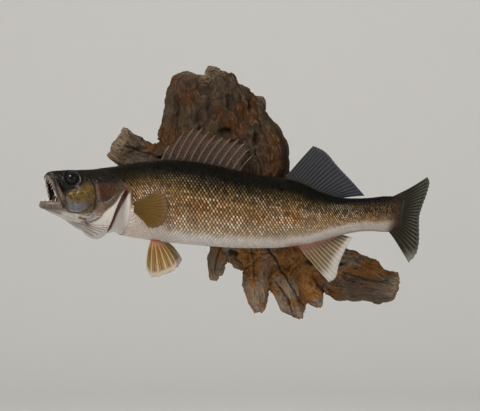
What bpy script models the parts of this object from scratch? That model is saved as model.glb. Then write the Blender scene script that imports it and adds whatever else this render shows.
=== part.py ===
"""Walleye on driftwood: a life-size mounted walleye fixed to a driftwood panel that hangs on a wall.

Metres, +Z up. The fish swims towards -X and the wall is the plane Y = 0, behind it on the +Y side.
The origin is on the flat sawn back of the driftwood, where it lies against the wall.

The fish is drawn straight first, in body coordinates (u, w, z): u runs along the body towards the
tail, w is the distance to the fish's right and z is height. place() then bends that straight fish
along its spine, so that head and tail swing away from the wall.
"""

import math

import bmesh
import bpy
import numpy as np
from mathutils import Matrix, Vector

MM = 0.001
GAP = 0.3 * MM  # the joint left between pieces that touch

# ---------------------------------------------------------------- driving dimensions
SPINE_Y = -105 * MM  # middle of the fish, in front of the wall
HEAD_TURN = math.radians(25)  # the head swings this far off the wall
NECK_FRONT = -215 * MM  # the turn is complete in front of here
NECK_REAR = -70 * MM  # and starts here
TAIL_TURN = math.radians(50)  # the tail swings this far off the wall
TAIL_BEND_START = 70 * MM
TAIL_BEND_END = 350 * MM
TAIL_ROLL = math.radians(13)  # the tail fin leans, top away from the head
TAIL_ROLL_START = 250 * MM
TAIL_ROLL_END = 350 * MM
TAIL_AXIS_Z = -24 * MM

SKULL_REAR = -228 * MM  # head and trunk part here, under the gill covers
STEM_FRONT = 140 * MM  # trunk and tail stem part here
FLESH_END = 322 * MM  # end of the scaled tail stem

EYE_U, EYE_W, EYE_Z = -297 * MM, 17.5 * MM, 37.5 * MM
EYE_RADIUS = 13 * MM

FIN_THICKNESS = 1.2 * MM
GILL_COVER_THICKNESS = 2.4 * MM

BODY_SIDES = 24  # points round the body
OVAL_SIDES = 16  # round the mouth's floor and hollow
STRAP_SIDES = 10  # round a lip or a jaw bone
BALL_SIDES, BALL_STATIONS = 12, 8
LIMB_SIDES = 14  # round a limb of the driftwood
COVER_ROWS, COVER_COLUMNS = 12, 5
TRUNK_STATIONS = [-218, -210, -203, -196, *range(-184, 128, 18), 132]
STEM_STATIONS = [*range(154, 300, 20), 306, 315]
FLESH_VOXEL = 3.2 * MM
HEAD_SHARE = 0.07  # share of the head's faces kept, after the blend
WOOD_VOXEL = 6 * MM
WOOD_SHARE = 0.10

# Body profile: u, back, belly, half width, in millimetres.
BODY_PROFILE = (
    (-338, 47, 40, 5),
    (-333, 49.5, 31, 12),
    (-322, 51.5, 14, 18),
    (-308, 52.5, -10, 22.5),
    (-298, 53, -30, 26),
    (-286, 53, -43, 31),
    (-271, 53.5, -56, 36),
    (-257, 54, -66, 39.5),
    (-244, 55, -70.5, 42.5),
    (-230, 57.2, -68, 45.5),
    (-215, 59.3, -63.5, 46.5),
    (-200, 61.8, -63.5, 46.5),
    (-180, 65.2, -66.8, 46.5),
    (-144, 70.4, -72.8, 48),
    (-90, 71.2, -79, 50),
    (-36, 64.6, -83.6, 50),
    (18, 52.2, -86.8, 48.5),
    (54, 45, -87.1, 46),
    (90, 40.2, -86, 42.5),
    (126, 31.6, -81.9, 37),
    (162, 15.4, -73.8, 31),
    (198, 5.2, -64, 25),
    (234, 3.4, -57.2, 20),
    (262, 4.4, -55.6, 16.5),
    (290, 6.8, -56.6, 12.5),
    (306, 6.4, -56, 9.5),
    (322, 3, -52, 5.5),
)
SECTION_POWER = 2.25  # a little squarer than an ellipse
THROAT_POWER = 1.7  # under the head the section narrows to a keel
THROAT_REAR, BREAST_FRONT = -245, -190


def smooth_step(t):
    t = np.clip(t, 0.0, 1.0)
    return t * t * (3 - 2 * t)


def mix(a, b, t):
    return a + (b - a) * t


def curve_through(points):
    """A smooth function through (x, y) points, with each slope taken from its neighbours."""
    x = np.array([p[0] for p in points], float)
    y = np.array([p[1] for p in points], float)
    slope = np.gradient(y, x)

    def value(at):
        at = float(np.clip(at, x[0], x[-1]))
        i = int(np.clip(np.searchsorted(x, at) - 1, 0, len(x) - 2))
        step = x[i + 1] - x[i]
        t = (at - x[i]) / step
        return (
            y[i] * (1 + 2 * t) * (1 - t) ** 2
            + slope[i] * step * t * (1 - t) ** 2
            + y[i + 1] * t * t * (3 - 2 * t)
            + slope[i + 1] * step * t * t * (t - 1)
        )

    return value


# ---------------------------------------------------------------- the bent spine
SPINE_STEP = 1 * MM
SPINE_U = np.arange(-420 * MM, 480 * MM, SPINE_STEP)
SPINE_ANGLE = HEAD_TURN * smooth_step((NECK_REAR - SPINE_U) / (NECK_REAR - NECK_FRONT)) - (
    TAIL_TURN * smooth_step((SPINE_U - TAIL_BEND_START) / (TAIL_BEND_END - TAIL_BEND_START))
)


def summed(values):
    """The running integral along the spine, zero at u = 0."""
    total = np.concatenate([[0], np.cumsum((values[1:] + values[:-1]) / 2)]) * SPINE_STEP
    return total - np.interp(0, SPINE_U, total)


SPINE_X = summed(np.cos(SPINE_ANGLE))
SPINE_DEPTH = SPINE_Y + summed(np.sin(SPINE_ANGLE))


def place(u, w, z):
    """A point of the straight fish, set where the bent fish has it."""
    roll = TAIL_ROLL * float(smooth_step((u - TAIL_ROLL_START) / (TAIL_ROLL_END - TAIL_ROLL_START)))
    above = z - TAIL_AXIS_Z
    side = w * math.cos(roll) + above * math.sin(roll)
    height = TAIL_AXIS_Z + above * math.cos(roll) - w * math.sin(roll)
    angle = np.interp(u, SPINE_U, SPINE_ANGLE)
    x = np.interp(u, SPINE_U, SPINE_X) - side * math.sin(angle)
    y = np.interp(u, SPINE_U, SPINE_DEPTH) + side * math.cos(angle)
    return Vector((x, y, height))


# ---------------------------------------------------------------- body sections
back_line = curve_through([(u, back) for u, back, belly, half in BODY_PROFILE])
belly_line = curve_through([(u, belly) for u, back, belly, half in BODY_PROFILE])
half_width = curve_through([(u, half) for u, back, belly, half in BODY_PROFILE])


def section_point(u, turn, extra=0.0):
    """(w, z) on the body's outline at station u. turn is 0 at the fish's right and 90 degrees on top."""
    back = back_line(u / MM) * MM + extra
    belly = belly_line(u / MM) * MM - extra
    half = half_width(u / MM) * MM + extra
    middle = (back + belly) / 2
    c, s = math.cos(turn), math.sin(turn)
    power = SECTION_POWER
    if s < 0:
        keel = smooth_step((BREAST_FRONT - u / MM) / (BREAST_FRONT - THROAT_REAR))
        power = mix(SECTION_POWER, THROAT_POWER, float(keel))
    w = half * math.copysign(abs(c) ** (2 / power), c)
    z = middle + (back - middle) * math.copysign(abs(s) ** (2 / power), s)
    return w, z


def turns(count=BODY_SIDES):
    return [2 * math.pi * k / count for k in range(count)]


# The gill covers stand in a chamber that is let into the body, from the cheek back to the shoulder.
CHAMBER_TOP = math.radians(44)
CHAMBER_FADE = math.radians(14)
CHAMBER_DEPTH = 6 * MM
CHAMBER_FRONT = -258 * MM
CHAMBER_STEP = 12 * MM
CHAMBER_REAR = (-210 * MM, -196 * MM)  # the wall fades out between these


def chamber_share(u, turn):
    """How far the body is let in for the gill chamber at a point, from 0 to 1."""
    height = math.asin(math.sin(turn))  # from the side, both flanks alike
    below = float(smooth_step((CHAMBER_TOP - height) / CHAMBER_FADE))
    enters = float(smooth_step((u - CHAMBER_FRONT) / CHAMBER_STEP))
    leaves = float(smooth_step((CHAMBER_REAR[1] - u) / (CHAMBER_REAR[1] - CHAMBER_REAR[0])))
    return below * enters * leaves


def body_ring(u, extra=0.0):
    ring = []
    for turn in turns():
        w, z = section_point(u, turn, extra - CHAMBER_DEPTH * chamber_share(u, turn))
        ring.append(place(u, w, z))
    return ring


# ---------------------------------------------------------------- mesh helpers
def start_scene():
    for thing in list(bpy.data.objects):
        bpy.data.objects.remove(thing)
    parts = bpy.data.collections.new("mounted_walleye")
    guides = bpy.data.collections.new("cutters")
    bpy.context.scene.collection.children.link(parts)
    bpy.context.scene.collection.children.link(guides)
    return parts, guides


PARTS, GUIDES = start_scene()


def material(name, colour, roughness, metallic=0.0):
    made = bpy.data.materials.new(name)
    made.use_nodes = True
    shader = made.node_tree.nodes["Principled BSDF"]
    shader.inputs["Base Color"].default_value = (*colour, 1)
    shader.inputs["Roughness"].default_value = roughness
    shader.inputs["Metallic"].default_value = metallic
    return made


def add_object(name, mesh, look=None, guide=False):
    made = bpy.data.objects.new(name, mesh)
    (GUIDES if guide else PARTS).objects.link(made)
    if look:
        mesh.materials.append(look)
    if guide:
        made.hide_render = True
        made.display_type = "WIRE"
    return made


def tidy_mesh(work, name):
    bmesh.ops.recalc_face_normals(work, faces=work.faces)
    mesh = bpy.data.meshes.new(name)
    work.to_mesh(mesh)
    work.free()
    mesh.shade_smooth()
    return mesh


def add_loft(work, rings):
    """Joins closed rings of equal count by quads and closes both ends."""
    loops = [[work.verts.new(p) for p in ring] for ring in rings]
    for near, far in zip(loops, loops[1:]):
        for k in range(len(near)):
            n = (k + 1) % len(near)
            work.faces.new((near[k], near[n], far[n], far[k]))
    work.faces.new(loops[0])
    work.faces.new(loops[-1])


def loft_mesh(name, *lofts):
    work = bmesh.new()
    for rings in lofts:
        add_loft(work, rings)
    return tidy_mesh(work, name)


def take_over(piece, name, look=None):
    """Names a fresh primitive and files it with the parts, or with the cutters when it has no look."""
    piece.name = piece.data.name = name
    for owner in list(piece.users_collection):
        owner.objects.unlink(piece)
    (PARTS if look else GUIDES).objects.link(piece)
    if look:
        piece.data.materials.append(look)
    else:
        piece.hide_render = True
        piece.display_type = "WIRE"
    return piece


def modify(piece, kind, **settings):
    modifier = piece.modifiers.new(kind.title(), kind)
    for key, value in settings.items():
        setattr(modifier, key, value)
    return modifier


def cut(piece, *cutters):
    for cutter in cutters:
        modify(piece, "BOOLEAN", operation="DIFFERENCE", object=cutter)


def blend_flesh(piece, voxel, share, smoothing):
    """Melts overlapping lofts into one skin and thins its faces."""
    modify(piece, "REMESH", mode="VOXEL", voxel_size=voxel)
    modify(piece, "SMOOTH", factor=0.5, iterations=smoothing)
    modify(piece, "DECIMATE", ratio=share)


def strap(path, hint):
    """Rings of an oval tube. path holds (point, radius along hint, radius across)."""
    rings = []
    points = [Vector(p) for p, along, across in path]
    for i, (point, along, across) in enumerate(path):
        run = (points[min(i + 1, len(points) - 1)] - points[max(i - 1, 0)]).normalized()
        first = (Vector(hint) - run * run.dot(Vector(hint))).normalized()
        second = run.cross(first)
        ring = []
        for a in turns(STRAP_SIDES):
            p = Vector(point) + first * along * math.cos(a) + second * across * math.sin(a)
            ring.append(place(*p))
        rings.append(ring)
    return rings


def mirrored(path, side):
    """The same strap path on the fish's left (-1) or right (+1). Path numbers are millimetres."""
    return [
        (Vector((u, w * side, z)) * MM, along * MM, across * MM)
        for u, w, z, along, across in path
    ]


# ---------------------------------------------------------------- head
# Strap paths: u, w, z, radius along the hint, radius across, in millimetres.
UPPER_LIP = (
    (-318, 28.5, -11, 2.4, 2.6),
    (-322, 25.5, 0, 2.6, 3),
    (-327, 20.5, 15, 3, 3.2),
    (-332, 14.5, 30, 3.2, 3.2),
    (-336.5, 8, 38.5, 3.3, 3.3),
    (-338.5, 0, 41, 3.4, 3.4),
)
MAXILLA = (
    (-327, 17, 38, 2, 3.5),
    (-323, 22, 24, 2.4, 5),
    (-318.5, 26, 10, 2.6, 6),
    (-315, 29.5, -4, 2.6, 7),
    (-312.5, 31, -15, 2.2, 6),
)
LOWER_RAMUS = (
    (-268, 34, -24, 8, 4.5),
    (-288, 32.5, -20, 9, 5),
    (-310, 28, -15, 8.5, 5),
    (-328, 21.5, -11, 8.5, 5),
    (-341.5, 11.5, -9.5, 7.5, 5),
    (-345, 0, -9, 7, 4.5),
)
TONGUE = (
    (-282, 0, -24, 5, 11),
    (-300, 0, -21, 5, 11),
    (-316, 0, -17.5, 3.6, 9),
    (-326, 0, -16, 2, 6),
)
# Mouth floor and throat under it: u, top, bottom, half width.
MOUTH_FLOOR = (
    (-343, -10, -16, 6),
    (-336, -13, -20, 13),
    (-324, -17, -25, 18.5),
    (-308, -22, -31, 23),
    (-292, -28, -40, 27),
    (-274, -34, -54, 30),
)
# Hollow of the mouth: u, roof, floor, half width.
MOUTH_HOLLOW = (
    (-352, 31, 2, 7),
    (-342, 31, -5, 9.5),
    (-334, 30, -14, 13),
    (-326, 28, -18, 16.5),
    (-312, 23, -20, 19),
    (-295, 16, -24, 21),
    (-275, 6, -26, 19),
    (-258, -4, -22, 12),
    (-250, -10, -18, 5),
)
CHEEK = (-268, 28, 3, 31, 13, 28)  # centre u, w, z and half sizes u, w, z
MOUTH_CORNER = (-305, 26.5, -8, 12, 5, 17)
# Head and lower jaw part along this line, seen from the side: through the open mouth, down past
# the corner and out at the throat. u and z.
CUTTER_HALF = 60 * MM  # the cutting blocks reach this far each side of the head
JAW_PARTING = ((-380, 12), (-332, 6), (-319, -3), (-312, -23), (-281, -60), (-262, -100))

# Where the canine teeth stand on each side, from the front back: u, w, z.
UPPER_TEETH = ((-337.5, 2, 41), (-333.5, 11.5, 35.5), (-328.5, 18, 22), (-324, 23, 6))
LOWER_TEETH = ((-344.5, 2, -7), (-340, 11, -7.5), (-334, 17, -8), (-324, 22.5, -9))
TOOTH_SPACING = 8 * MM
TOOTH_LENGTH = 9 * MM
TOOTH_RADIUS = 1.3 * MM


def oval_rings(stations):
    """Rings of an oval tube on the midline from (u, top, bottom, half width) stations."""
    rings = []
    for u, top, bottom, half in stations:
        middle, rise = (top + bottom) / 2, (top - bottom) / 2
        rings.append(
            [
                place(u * MM, half * math.cos(a) * MM, (middle + rise * math.sin(a)) * MM)
                for a in turns(OVAL_SIDES)
            ]
        )
    return rings


def ball_rings(u, w, z, ru, rw, rz):
    """Rings of an egg shape, as a loft along u. All in millimetres."""
    rings = []
    for k in range(1, BALL_STATIONS):
        a = math.pi * k / BALL_STATIONS
        at = u - ru * math.cos(a)
        size = math.sin(a)
        ring = []
        for t in turns(BALL_SIDES):
            side, height = w + rw * size * math.cos(t), z + rz * size * math.sin(t)
            ring.append(place(at * MM, side * MM, height * MM))
        rings.append(ring)
    return rings


def skull_rings():
    """The head's own outline from snout to neck, without the hollow of the mouth."""
    stations = [-338, -333, -322, -308, -298, -286, -271, -257, -250, -244, -238, -228]
    return [body_ring(u * MM) for u in stations]


def head_lofts():
    lofts = [skull_rings(), oval_rings(MOUTH_FLOOR)]
    lip = mirrored(UPPER_LIP, -1) + mirrored(UPPER_LIP, 1)[-2::-1]
    jaw = mirrored(LOWER_RAMUS, -1) + mirrored(LOWER_RAMUS, 1)[-2::-1]
    lofts.append(strap(lip, (1, 0, 0.35)))
    lofts.append(strap(jaw, (0, 0, 1)))
    for side in (-1, 1):
        lofts.append(strap(mirrored(MAXILLA, side), (0, 1, 0)))
        for u, w, z, ru, rw, rz in (CHEEK, MOUTH_CORNER):
            lofts.append(ball_rings(u, w * side, z, ru, rw, rz))
    return lofts


def jaw_cutter(name, keep_head):
    """A block on one side of the line where head and lower jaw part."""
    line = [Vector(p) * MM for p in JAW_PARTING]
    shifted = []
    for i, point in enumerate(line):
        run = (line[min(i + 1, len(line) - 1)] - line[max(i - 1, 0)]).normalized()
        into_head = Vector((-run.y, run.x))
        shifted.append(point + into_head * (GAP / 2) * (1 if keep_head else -1))
    if keep_head:
        shifted.append(Vector((-380, -100)) * MM)
    else:
        shifted += [Vector((-220, -100)) * MM, Vector((-220, 80)) * MM, Vector((-380, 80)) * MM]
    rings = [[place(c.x, w, c.y) for c in shifted] for w in (-CUTTER_HALF, 0, CUTTER_HALF)]
    return add_object(name, loft_mesh(name, rings), guide=True)


def teeth(name, path, points_up):
    """Canine teeth on both sides of a jaw, as small cones with their feet in the lip."""
    work = bmesh.new()
    for side in (-1, 1):
        line = [Vector((u, w * side, z)) * MM for u, w, z in path]
        for a, b in zip(line, line[1:]):
            count = max(1, round((b - a).length / TOOTH_SPACING))
            for k in range(count):
                foot = a.lerp(b, (k + 0.5) / count)
                lean = Vector((0.25, -0.15 * side, 1 if points_up else -1)).normalized()
                tip = foot + lean * TOOTH_LENGTH
                start, end = place(*foot), place(*tip)
                turned = (end - start).to_track_quat("Z", "Y").to_matrix().to_4x4()
                bmesh.ops.create_cone(
                    work,
                    cap_ends=True,
                    segments=5,
                    radius1=TOOTH_RADIUS,
                    radius2=0,
                    depth=TOOTH_LENGTH,
                    matrix=Matrix.Translation((start + end) / 2) @ turned,
                )
    return add_object(name, tidy_mesh(work, name), guide=True)


# ---------------------------------------------------------------- gill covers
# Front and rear edge of a gill cover and how far it stands off, from its top (0) to its foot (1).
COVER_TOP_TURN = math.radians(34)
COVER_FOOT_TURN = math.radians(-86)
COVER_FRONT = ((0, -256), (0.3, -262), (0.5, -264), (0.7, -272), (0.85, -279), (1, -284))
COVER_REAR = (
    (0, -227),
    (0.06, -217),
    (0.15, -206.5),
    (0.25, -216),
    (0.4, -226.5),
    (0.6, -233),
    (0.82, -238),
    (1, -252),
)
cover_front = curve_through(COVER_FRONT)
cover_rear = curve_through(COVER_REAR)
cover_flare = curve_through([(0, 2), (0.15, 4), (0.4, 7), (0.7, 6), (1, 1.5)])
COVER_SINK = 0.9 * MM
COVER_REACH = 45 * MM  # from the body's middle to a cover, to turn a distance into an angle


def cover_point(side, down, along, wider=0.0, longer=0.0):
    """The outer face of a gill cover, from its top (down 0) and its front (along 0)."""
    turn = mix(COVER_TOP_TURN, COVER_FOOT_TURN, down) + wider / COVER_REACH
    u = mix(cover_front(down), cover_rear(down), along) * MM + longer
    lift = cover_flare(down) * MM * along**1.6 - COVER_SINK * (1 - along) ** 3
    w, z = section_point(u, turn, lift)
    return place(u, w * side, z)


def gill_cover(name, side, look=None):
    """A gill cover, or with no look the room it needs in the head and trunk."""
    margin = 3 * GAP
    downs = [(i / (COVER_ROWS - 1), 0) for i in range(COVER_ROWS)]
    alongs = [(j / (COVER_COLUMNS - 1), 0) for j in range(COVER_COLUMNS)]
    if not look:
        downs = [(0, margin), *downs, (1, -margin)]
        alongs = [(0, -margin), *alongs, (1, margin)]
    work = bmesh.new()
    grid = [
        [work.verts.new(cover_point(side, down, along, wider, longer)) for along, longer in alongs]
        for down, wider in downs
    ]
    for upper, lower in zip(grid, grid[1:]):
        for j in range(len(alongs) - 1):
            for corners in (
                (upper[j], upper[j + 1], lower[j + 1]),
                (upper[j], lower[j + 1], lower[j]),
            ):
                work.faces.new(corners if side > 0 else corners[::-1])
    mesh = bpy.data.meshes.new(name)
    work.to_mesh(mesh)
    work.free()
    piece = add_object(name, mesh, look, guide=look is None)
    thickness = GILL_COVER_THICKNESS + (0 if look else 2 * GAP)
    modify(piece, "SOLIDIFY", thickness=thickness, offset=-1 if look else -1 + 2 * GAP / thickness)
    return piece


# ---------------------------------------------------------------- fins
def fan_fin(name, rays, look):
    """A thin fin from its rays, each a list of points in body coordinates from root to tip."""
    work = bmesh.new()
    grid = [[work.verts.new(place(*p)) for p in ray] for ray in rays]
    for near, far in zip(grid, grid[1:]):
        for k in range(len(near) - 1):
            work.faces.new((near[k], near[k + 1], far[k + 1], far[k]))
    piece = add_object(name, tidy_mesh(work, name), look)
    modify(piece, "SOLIDIFY", thickness=FIN_THICKNESS, offset=0)
    return piece


FIN_ROOT = 2.5 * MM  # a fin starts this far inside the body, and is trimmed to its skin
RAY_POINTS = 5
TAIL_RAY_COUNT = 13
PAIRED_RAY_COUNT = 9


def median_rays(count, first, last, edge, angles, lengths, bow):
    """Rays of a fin on the midline, from first to last along a body edge.

    angles and lengths give each ray's slope in degrees and its length in millimetres against its
    place in the fin, from 0 to 1. bow bends the rays back by that many degrees at the tip.
    """
    up = 1 if edge is back_line else -1
    rays = []
    for i in range(count):
        t = i / (count - 1)
        u = mix(first, last, t)
        z = edge(u) - up * FIN_ROOT / MM
        slope = angles(t)
        step = (lengths(t) + FIN_ROOT / MM) / (RAY_POINTS - 1)
        ray = [(u * MM, 0, z * MM)]
        for k in range(RAY_POINTS - 1):
            lean = math.radians(slope - bow * k / (RAY_POINTS - 2))
            u += step * math.cos(lean)
            z += up * step * math.sin(lean)
            ray.append((u * MM, 0, z * MM))
        rays.append(ray)
    return rays


def dorsal_spiny_rays():
    angles = curve_through([(0, 70), (0.3, 66), (0.7, 60), (1, 58)])
    lengths = curve_through(
        [(0, 30), (0.1, 58), (0.2, 70), (0.4, 60), (0.62, 58), (0.75, 62), (0.88, 50), (1, 34)]
    )
    return median_rays(12, -124, 16, back_line, angles, lengths, 14)


def dorsal_soft_rays():
    angles = curve_through([(0, 51), (0.35, 47), (0.7, 32), (1, 7)])
    lengths = curve_through([(0, 80), (0.2, 76), (0.5, 62), (0.8, 53), (1, 50)])
    return median_rays(12, 97, 196, back_line, angles, lengths, 4)


def anal_rays():
    angles = curve_through([(0, 51), (0.4, 45), (0.75, 32), (1, 14)])
    lengths = curve_through([(0, 88), (0.15, 84), (0.4, 60), (0.7, 38), (1, 22)])
    return median_rays(9, 121, 199, belly_line, angles, lengths, 4)


# Tail fin: place up the tail (1 top, -1 bottom), root height, tip u, tip height, in millimetres.
TAIL_FIN_TIPS = (
    (-1, -50, 368, -112),
    (-0.86, -46, 380, -99),
    (-0.6, -38, 384, -76),
    (-0.3, -31, 379, -50),
    (0, -24, 375, -28),
    (0.3, -17, 379, -7),
    (0.6, -10, 385, 16),
    (0.86, -3, 386, 34),
    (1, 2, 380, 42),
)


def tail_rays():
    ups = [row[0] for row in TAIL_FIN_TIPS]
    root_z = curve_through([(up, row[1]) for up, row in zip(ups, TAIL_FIN_TIPS)])
    tip_u = curve_through([(up, row[2]) for up, row in zip(ups, TAIL_FIN_TIPS)])
    tip_z = curve_through([(up, row[3]) for up, row in zip(ups, TAIL_FIN_TIPS)])
    rays = []
    for k in range(TAIL_RAY_COUNT):
        up = -1 + 2 * k / (TAIL_RAY_COUNT - 1)
        root = Vector(((FLESH_END / MM - 26 + 16 * (1 - up * up)), 0, root_z(up)))
        tip = Vector((tip_u(up), 0, tip_z(up)))
        # each ray leaves along the body and bends out towards its tip
        bulge = Vector((root.x + (tip.x - root.x) * 0.5, 0, mix(root.z, tip.z, 0.42)))
        ray = []
        for i in range(RAY_POINTS):
            t = i / (RAY_POINTS - 1)
            ray.append(tuple((root * (1 - t) ** 2 + bulge * 2 * t * (1 - t) + tip * t * t) * MM))
        rays.append(ray)
    return rays


def paired_rays(side, root_a, root_b, tips, bow):
    """Rays of a paired fin. tips are (u, w, z) points along its edge, in millimetres.

    bow is how far the outer rays curve away from the middle of the fan.
    """
    edge = [curve_through([(i, tip[axis]) for i, tip in enumerate(tips)]) for axis in range(3)]
    rays = []
    for k in range(PAIRED_RAY_COUNT):
        t = k / (PAIRED_RAY_COUNT - 1)
        root = Vector(root_a).lerp(Vector(root_b), t)
        tip = Vector([axis(t * (len(tips) - 1)) for axis in edge])
        along = tip - root
        aside = Vector((along.z, 0, -along.x)).normalized() * bow * (1 - 2 * t)
        middle = root.lerp(tip, 0.5) + aside
        ray = []
        for i in range(RAY_POINTS):
            s = i / (RAY_POINTS - 1)
            p = root * (1 - s) ** 2 + middle * 2 * s * (1 - s) + tip * s * s
            ray.append((p.x * MM, p.y * side * MM, p.z * MM))
        rays.append(ray)
    return rays


LEFT, RIGHT = -1, 1
PECTORAL_ROOT = ((-192, 45, -5), (-189, 44, -22))
PECTORAL_TIPS = (
    (-139, 53, 18),
    (-119, 56, 8),
    (-112.5, 57, -10),
    (-114, 56, -28),
    (-131, 52, -48),
    (-157, 46, -50),
)
PECTORAL_TIPS_WALL = (
    (-141, 52, 16),
    (-124, 54, 7),
    (-118, 54.5, -9),
    (-120, 54, -25),
    (-135, 51, -42),
    (-157, 47, -45),
)
PELVIC_ROOT_NEAR = ((-144, 14, -70), (-127, 14, -73))
PELVIC_ROOT_FAR = ((-136, 15, -71), (-119, 15, -74))
PELVIC_TIPS_NEAR = (
    (-158, 31, -124),
    (-148, 34, -139),
    (-132, 35, -138),
    (-114, 35, -133),
    (-100, 34, -127),
    (-94, 31, -118),
)
PELVIC_TIPS_FAR = (
    (-128, 25, -124),
    (-118, 29, -136),
    (-106, 30, -133),
    (-93, 28, -122),
    (-86, 25, -108),
    (-97, 20, -91),
)


# ---------------------------------------------------------------- driftwood
# Each limb: name, depth share of its width, and stations of x, z, y, radius in the wall's plane.
LIMBS = (
    ("burl", 0.74, (
        (-70, 229, -32, 16), (-77, 213, -33, 33), (-78, 186, -33, 43), (-77, 150, -32, 46),
        (-76, 115, -30, 57), (-66, 78, -29, 65), (-50, 40, -27, 62),
    )),
    ("crown", 0.64, (
        (-20, 241, -30, 14), (-21, 231, -31, 24), (-16, 208, -31, 34), (-6, 160, -31, 50),
        (4, 93, -30, 64), (8, 40, -28, 74),
    )),
    ("shoulder", 0.80, (
        (14, 214, -28, 9), (20, 200, -28, 17), (34, 162, -28, 29), (48, 130, -28, 35),
        (64, 101, -28, 39), (70, 72, -27, 40), (64, 44, -26, 40),
    )),
    ("spur", 0.9, ((51, 189, -26, 8), (54, 174, -27, 12), (50, 146, -28, 17))),
    ("arm", 0.52, (
        (-210, 106, -30, 31), (-190, 93, -30, 31), (-163, 79, -29, 30), (-130, 70, -28, 36),
        (-95, 62, -28, 46),
    )),
    ("core", 0.46, ((-28, 46, -27, 74), (8, -10, -27, 76), (48, -64, -27, 74), (80, -92, -26, 58))),
    ("bottom_edge", 0.7, ((-14, -80, -26, 28), (10, -86, -26, 27), (34, -92, -26, 27))),
    ("finger", 0.85, ((-27, -143, -31, 8), (-28, -133, -31, 12), (-24, -112, -30, 18), (-14, -76, -26, 25))),
    ("root_a", 0.85, (
        (49, -202, -37, 11), (51, -192, -36, 17), (50, -170, -34, 22), (49, -128, -29, 25),
        (52, -84, -26, 28),
    )),
    ("root_b", 0.80, (
        (129, -212, -36, 11), (122, -198, -35, 21), (108, -174, -32, 27), (92, -136, -28, 27),
        (76, -92, -26, 29),
    )),
    ("root_c", 0.80, (
        (167, -195, -30, 9), (159, -184, -30, 16), (146, -165, -28, 21), (130, -128, -26, 23),
        (113, -92, -25, 25),
    )),
    ("branch", 0.60, (
        (304, -163, -28, 27), (288, -160, -28, 29), (250, -149, -27, 39), (212, -137, -26, 45),
        (172, -118, -26, 44), (126, -90, -25, 42),
    )),
)
BARK_NOISE = 5 * MM


def limb_rings(depth_share, stations):
    """Oval rings along a limb, in the plane of the wall, thinner from front to back."""
    rings = []
    points = [Vector((x, y, z)) * MM for x, z, y, radius in stations]
    for i, (x, z, y, radius) in enumerate(stations):
        run = points[min(i + 1, len(points) - 1)] - points[max(i - 1, 0)]
        run.y = 0
        across = run.normalized().cross(Vector((0, 1, 0)))
        ring = []
        for a in turns(LIMB_SIDES):
            out = across * radius * MM * math.cos(a)
            ring.append(points[i] + out + Vector((0, radius * depth_share * MM * math.sin(a), 0)))
        rings.append(ring)
    return rings


def driftwood(look):
    mesh = loft_mesh("driftwood", *[limb_rings(share, stations) for name, share, stations in LIMBS])
    wood = add_object("driftwood", mesh, look)
    lumps = bpy.data.textures.new("driftwood_lumps", "CLOUDS")
    lumps.noise_scale = 0.028
    lumps.noise_depth = 1
    modify(wood, "REMESH", mode="VOXEL", voxel_size=WOOD_VOXEL)
    modify(wood, "SMOOTH", factor=0.5, iterations=3)
    modify(wood, "DISPLACE", texture=lumps, strength=2 * BARK_NOISE, mid_level=0.5, texture_coords="GLOBAL")
    modify(wood, "DECIMATE", ratio=WOOD_SHARE)
    return wood


def box_cutter(name, low, high):
    bpy.ops.mesh.primitive_cube_add(size=1)
    box = take_over(bpy.context.object, name)
    size = Matrix.Diagonal([b - a for a, b in zip(low, high)] + [1])
    box.data.transform(Matrix.Translation([(a + b) / 2 for a, b in zip(low, high)]) @ size)
    return box


# ---------------------------------------------------------------- hanger
HANGER_Z = 96 * MM
HANGER_X = -8 * MM
HANGER_WIDTH, HANGER_HEIGHT, HANGER_THICKNESS = 18 * MM, 44 * MM, 1.6 * MM
HANGER_SET = 0.8 * MM  # how far the plate lies behind the sawn face
KEY_RADIUS, SLOT_RADIUS, SLOT_RISE = 4.5 * MM, 2.3 * MM, 9 * MM
SCREW_RADIUS, SCREW_HEIGHT = 2.8 * MM, 1.2 * MM


def rounded_plate(name, width, height, corner, low_y, high_y, look=None):
    """A round-cornered plate in the wall's plane, centred on the hanger, from low_y to high_y."""
    outline = bpy.data.curves.new(name, "CURVE")
    outline.dimensions = "2D"
    outline.fill_mode = "BOTH"
    outline.extrude = (high_y - low_y) / 2
    spline = outline.splines.new("POLY")
    points = []
    for cx, cz, start in ((1, 1, 0), (-1, 1, 90), (-1, -1, 180), (1, -1, 270)):
        for k in range(5):
            a = math.radians(start + 22.5 * k)
            x = cx * (width / 2 - corner) + corner * math.cos(a)
            z = cz * (height / 2 - corner) + corner * math.sin(a)
            points.append((x, z, 0, 1))
    spline.points.add(len(points) - 1)
    for point, where in zip(spline.points, points):
        point.co = where
    spline.use_cyclic_u = True
    source = bpy.data.objects.new(name, outline)
    bpy.context.scene.collection.objects.link(source)
    bpy.context.view_layer.update()
    mesh = bpy.data.meshes.new_from_object(source.evaluated_get(bpy.context.evaluated_depsgraph_get()))
    bpy.data.objects.remove(source)
    work = bmesh.new()
    work.from_mesh(mesh)
    bmesh.ops.remove_doubles(work, verts=work.verts, dist=0.00001)
    for vertex in work.verts:
        x, z, depth = vertex.co
        vertex.co = Vector((HANGER_X + x, (low_y + high_y) / 2 - depth, HANGER_Z + z))
    return add_object(name, tidy_mesh(work, name), look, guide=look is None)


def round_post(name, x, z, radius, low_y, high_y, look=None, sides=16):
    """A short round post along Y."""
    bpy.ops.mesh.primitive_cylinder_add(vertices=sides, radius=radius, depth=high_y - low_y)
    post = take_over(bpy.context.object, name, look)
    turned = Matrix.Translation((x, (low_y + high_y) / 2, z)) @ Matrix.Rotation(math.pi / 2, 4, "X")
    post.data.transform(turned)
    return post


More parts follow.
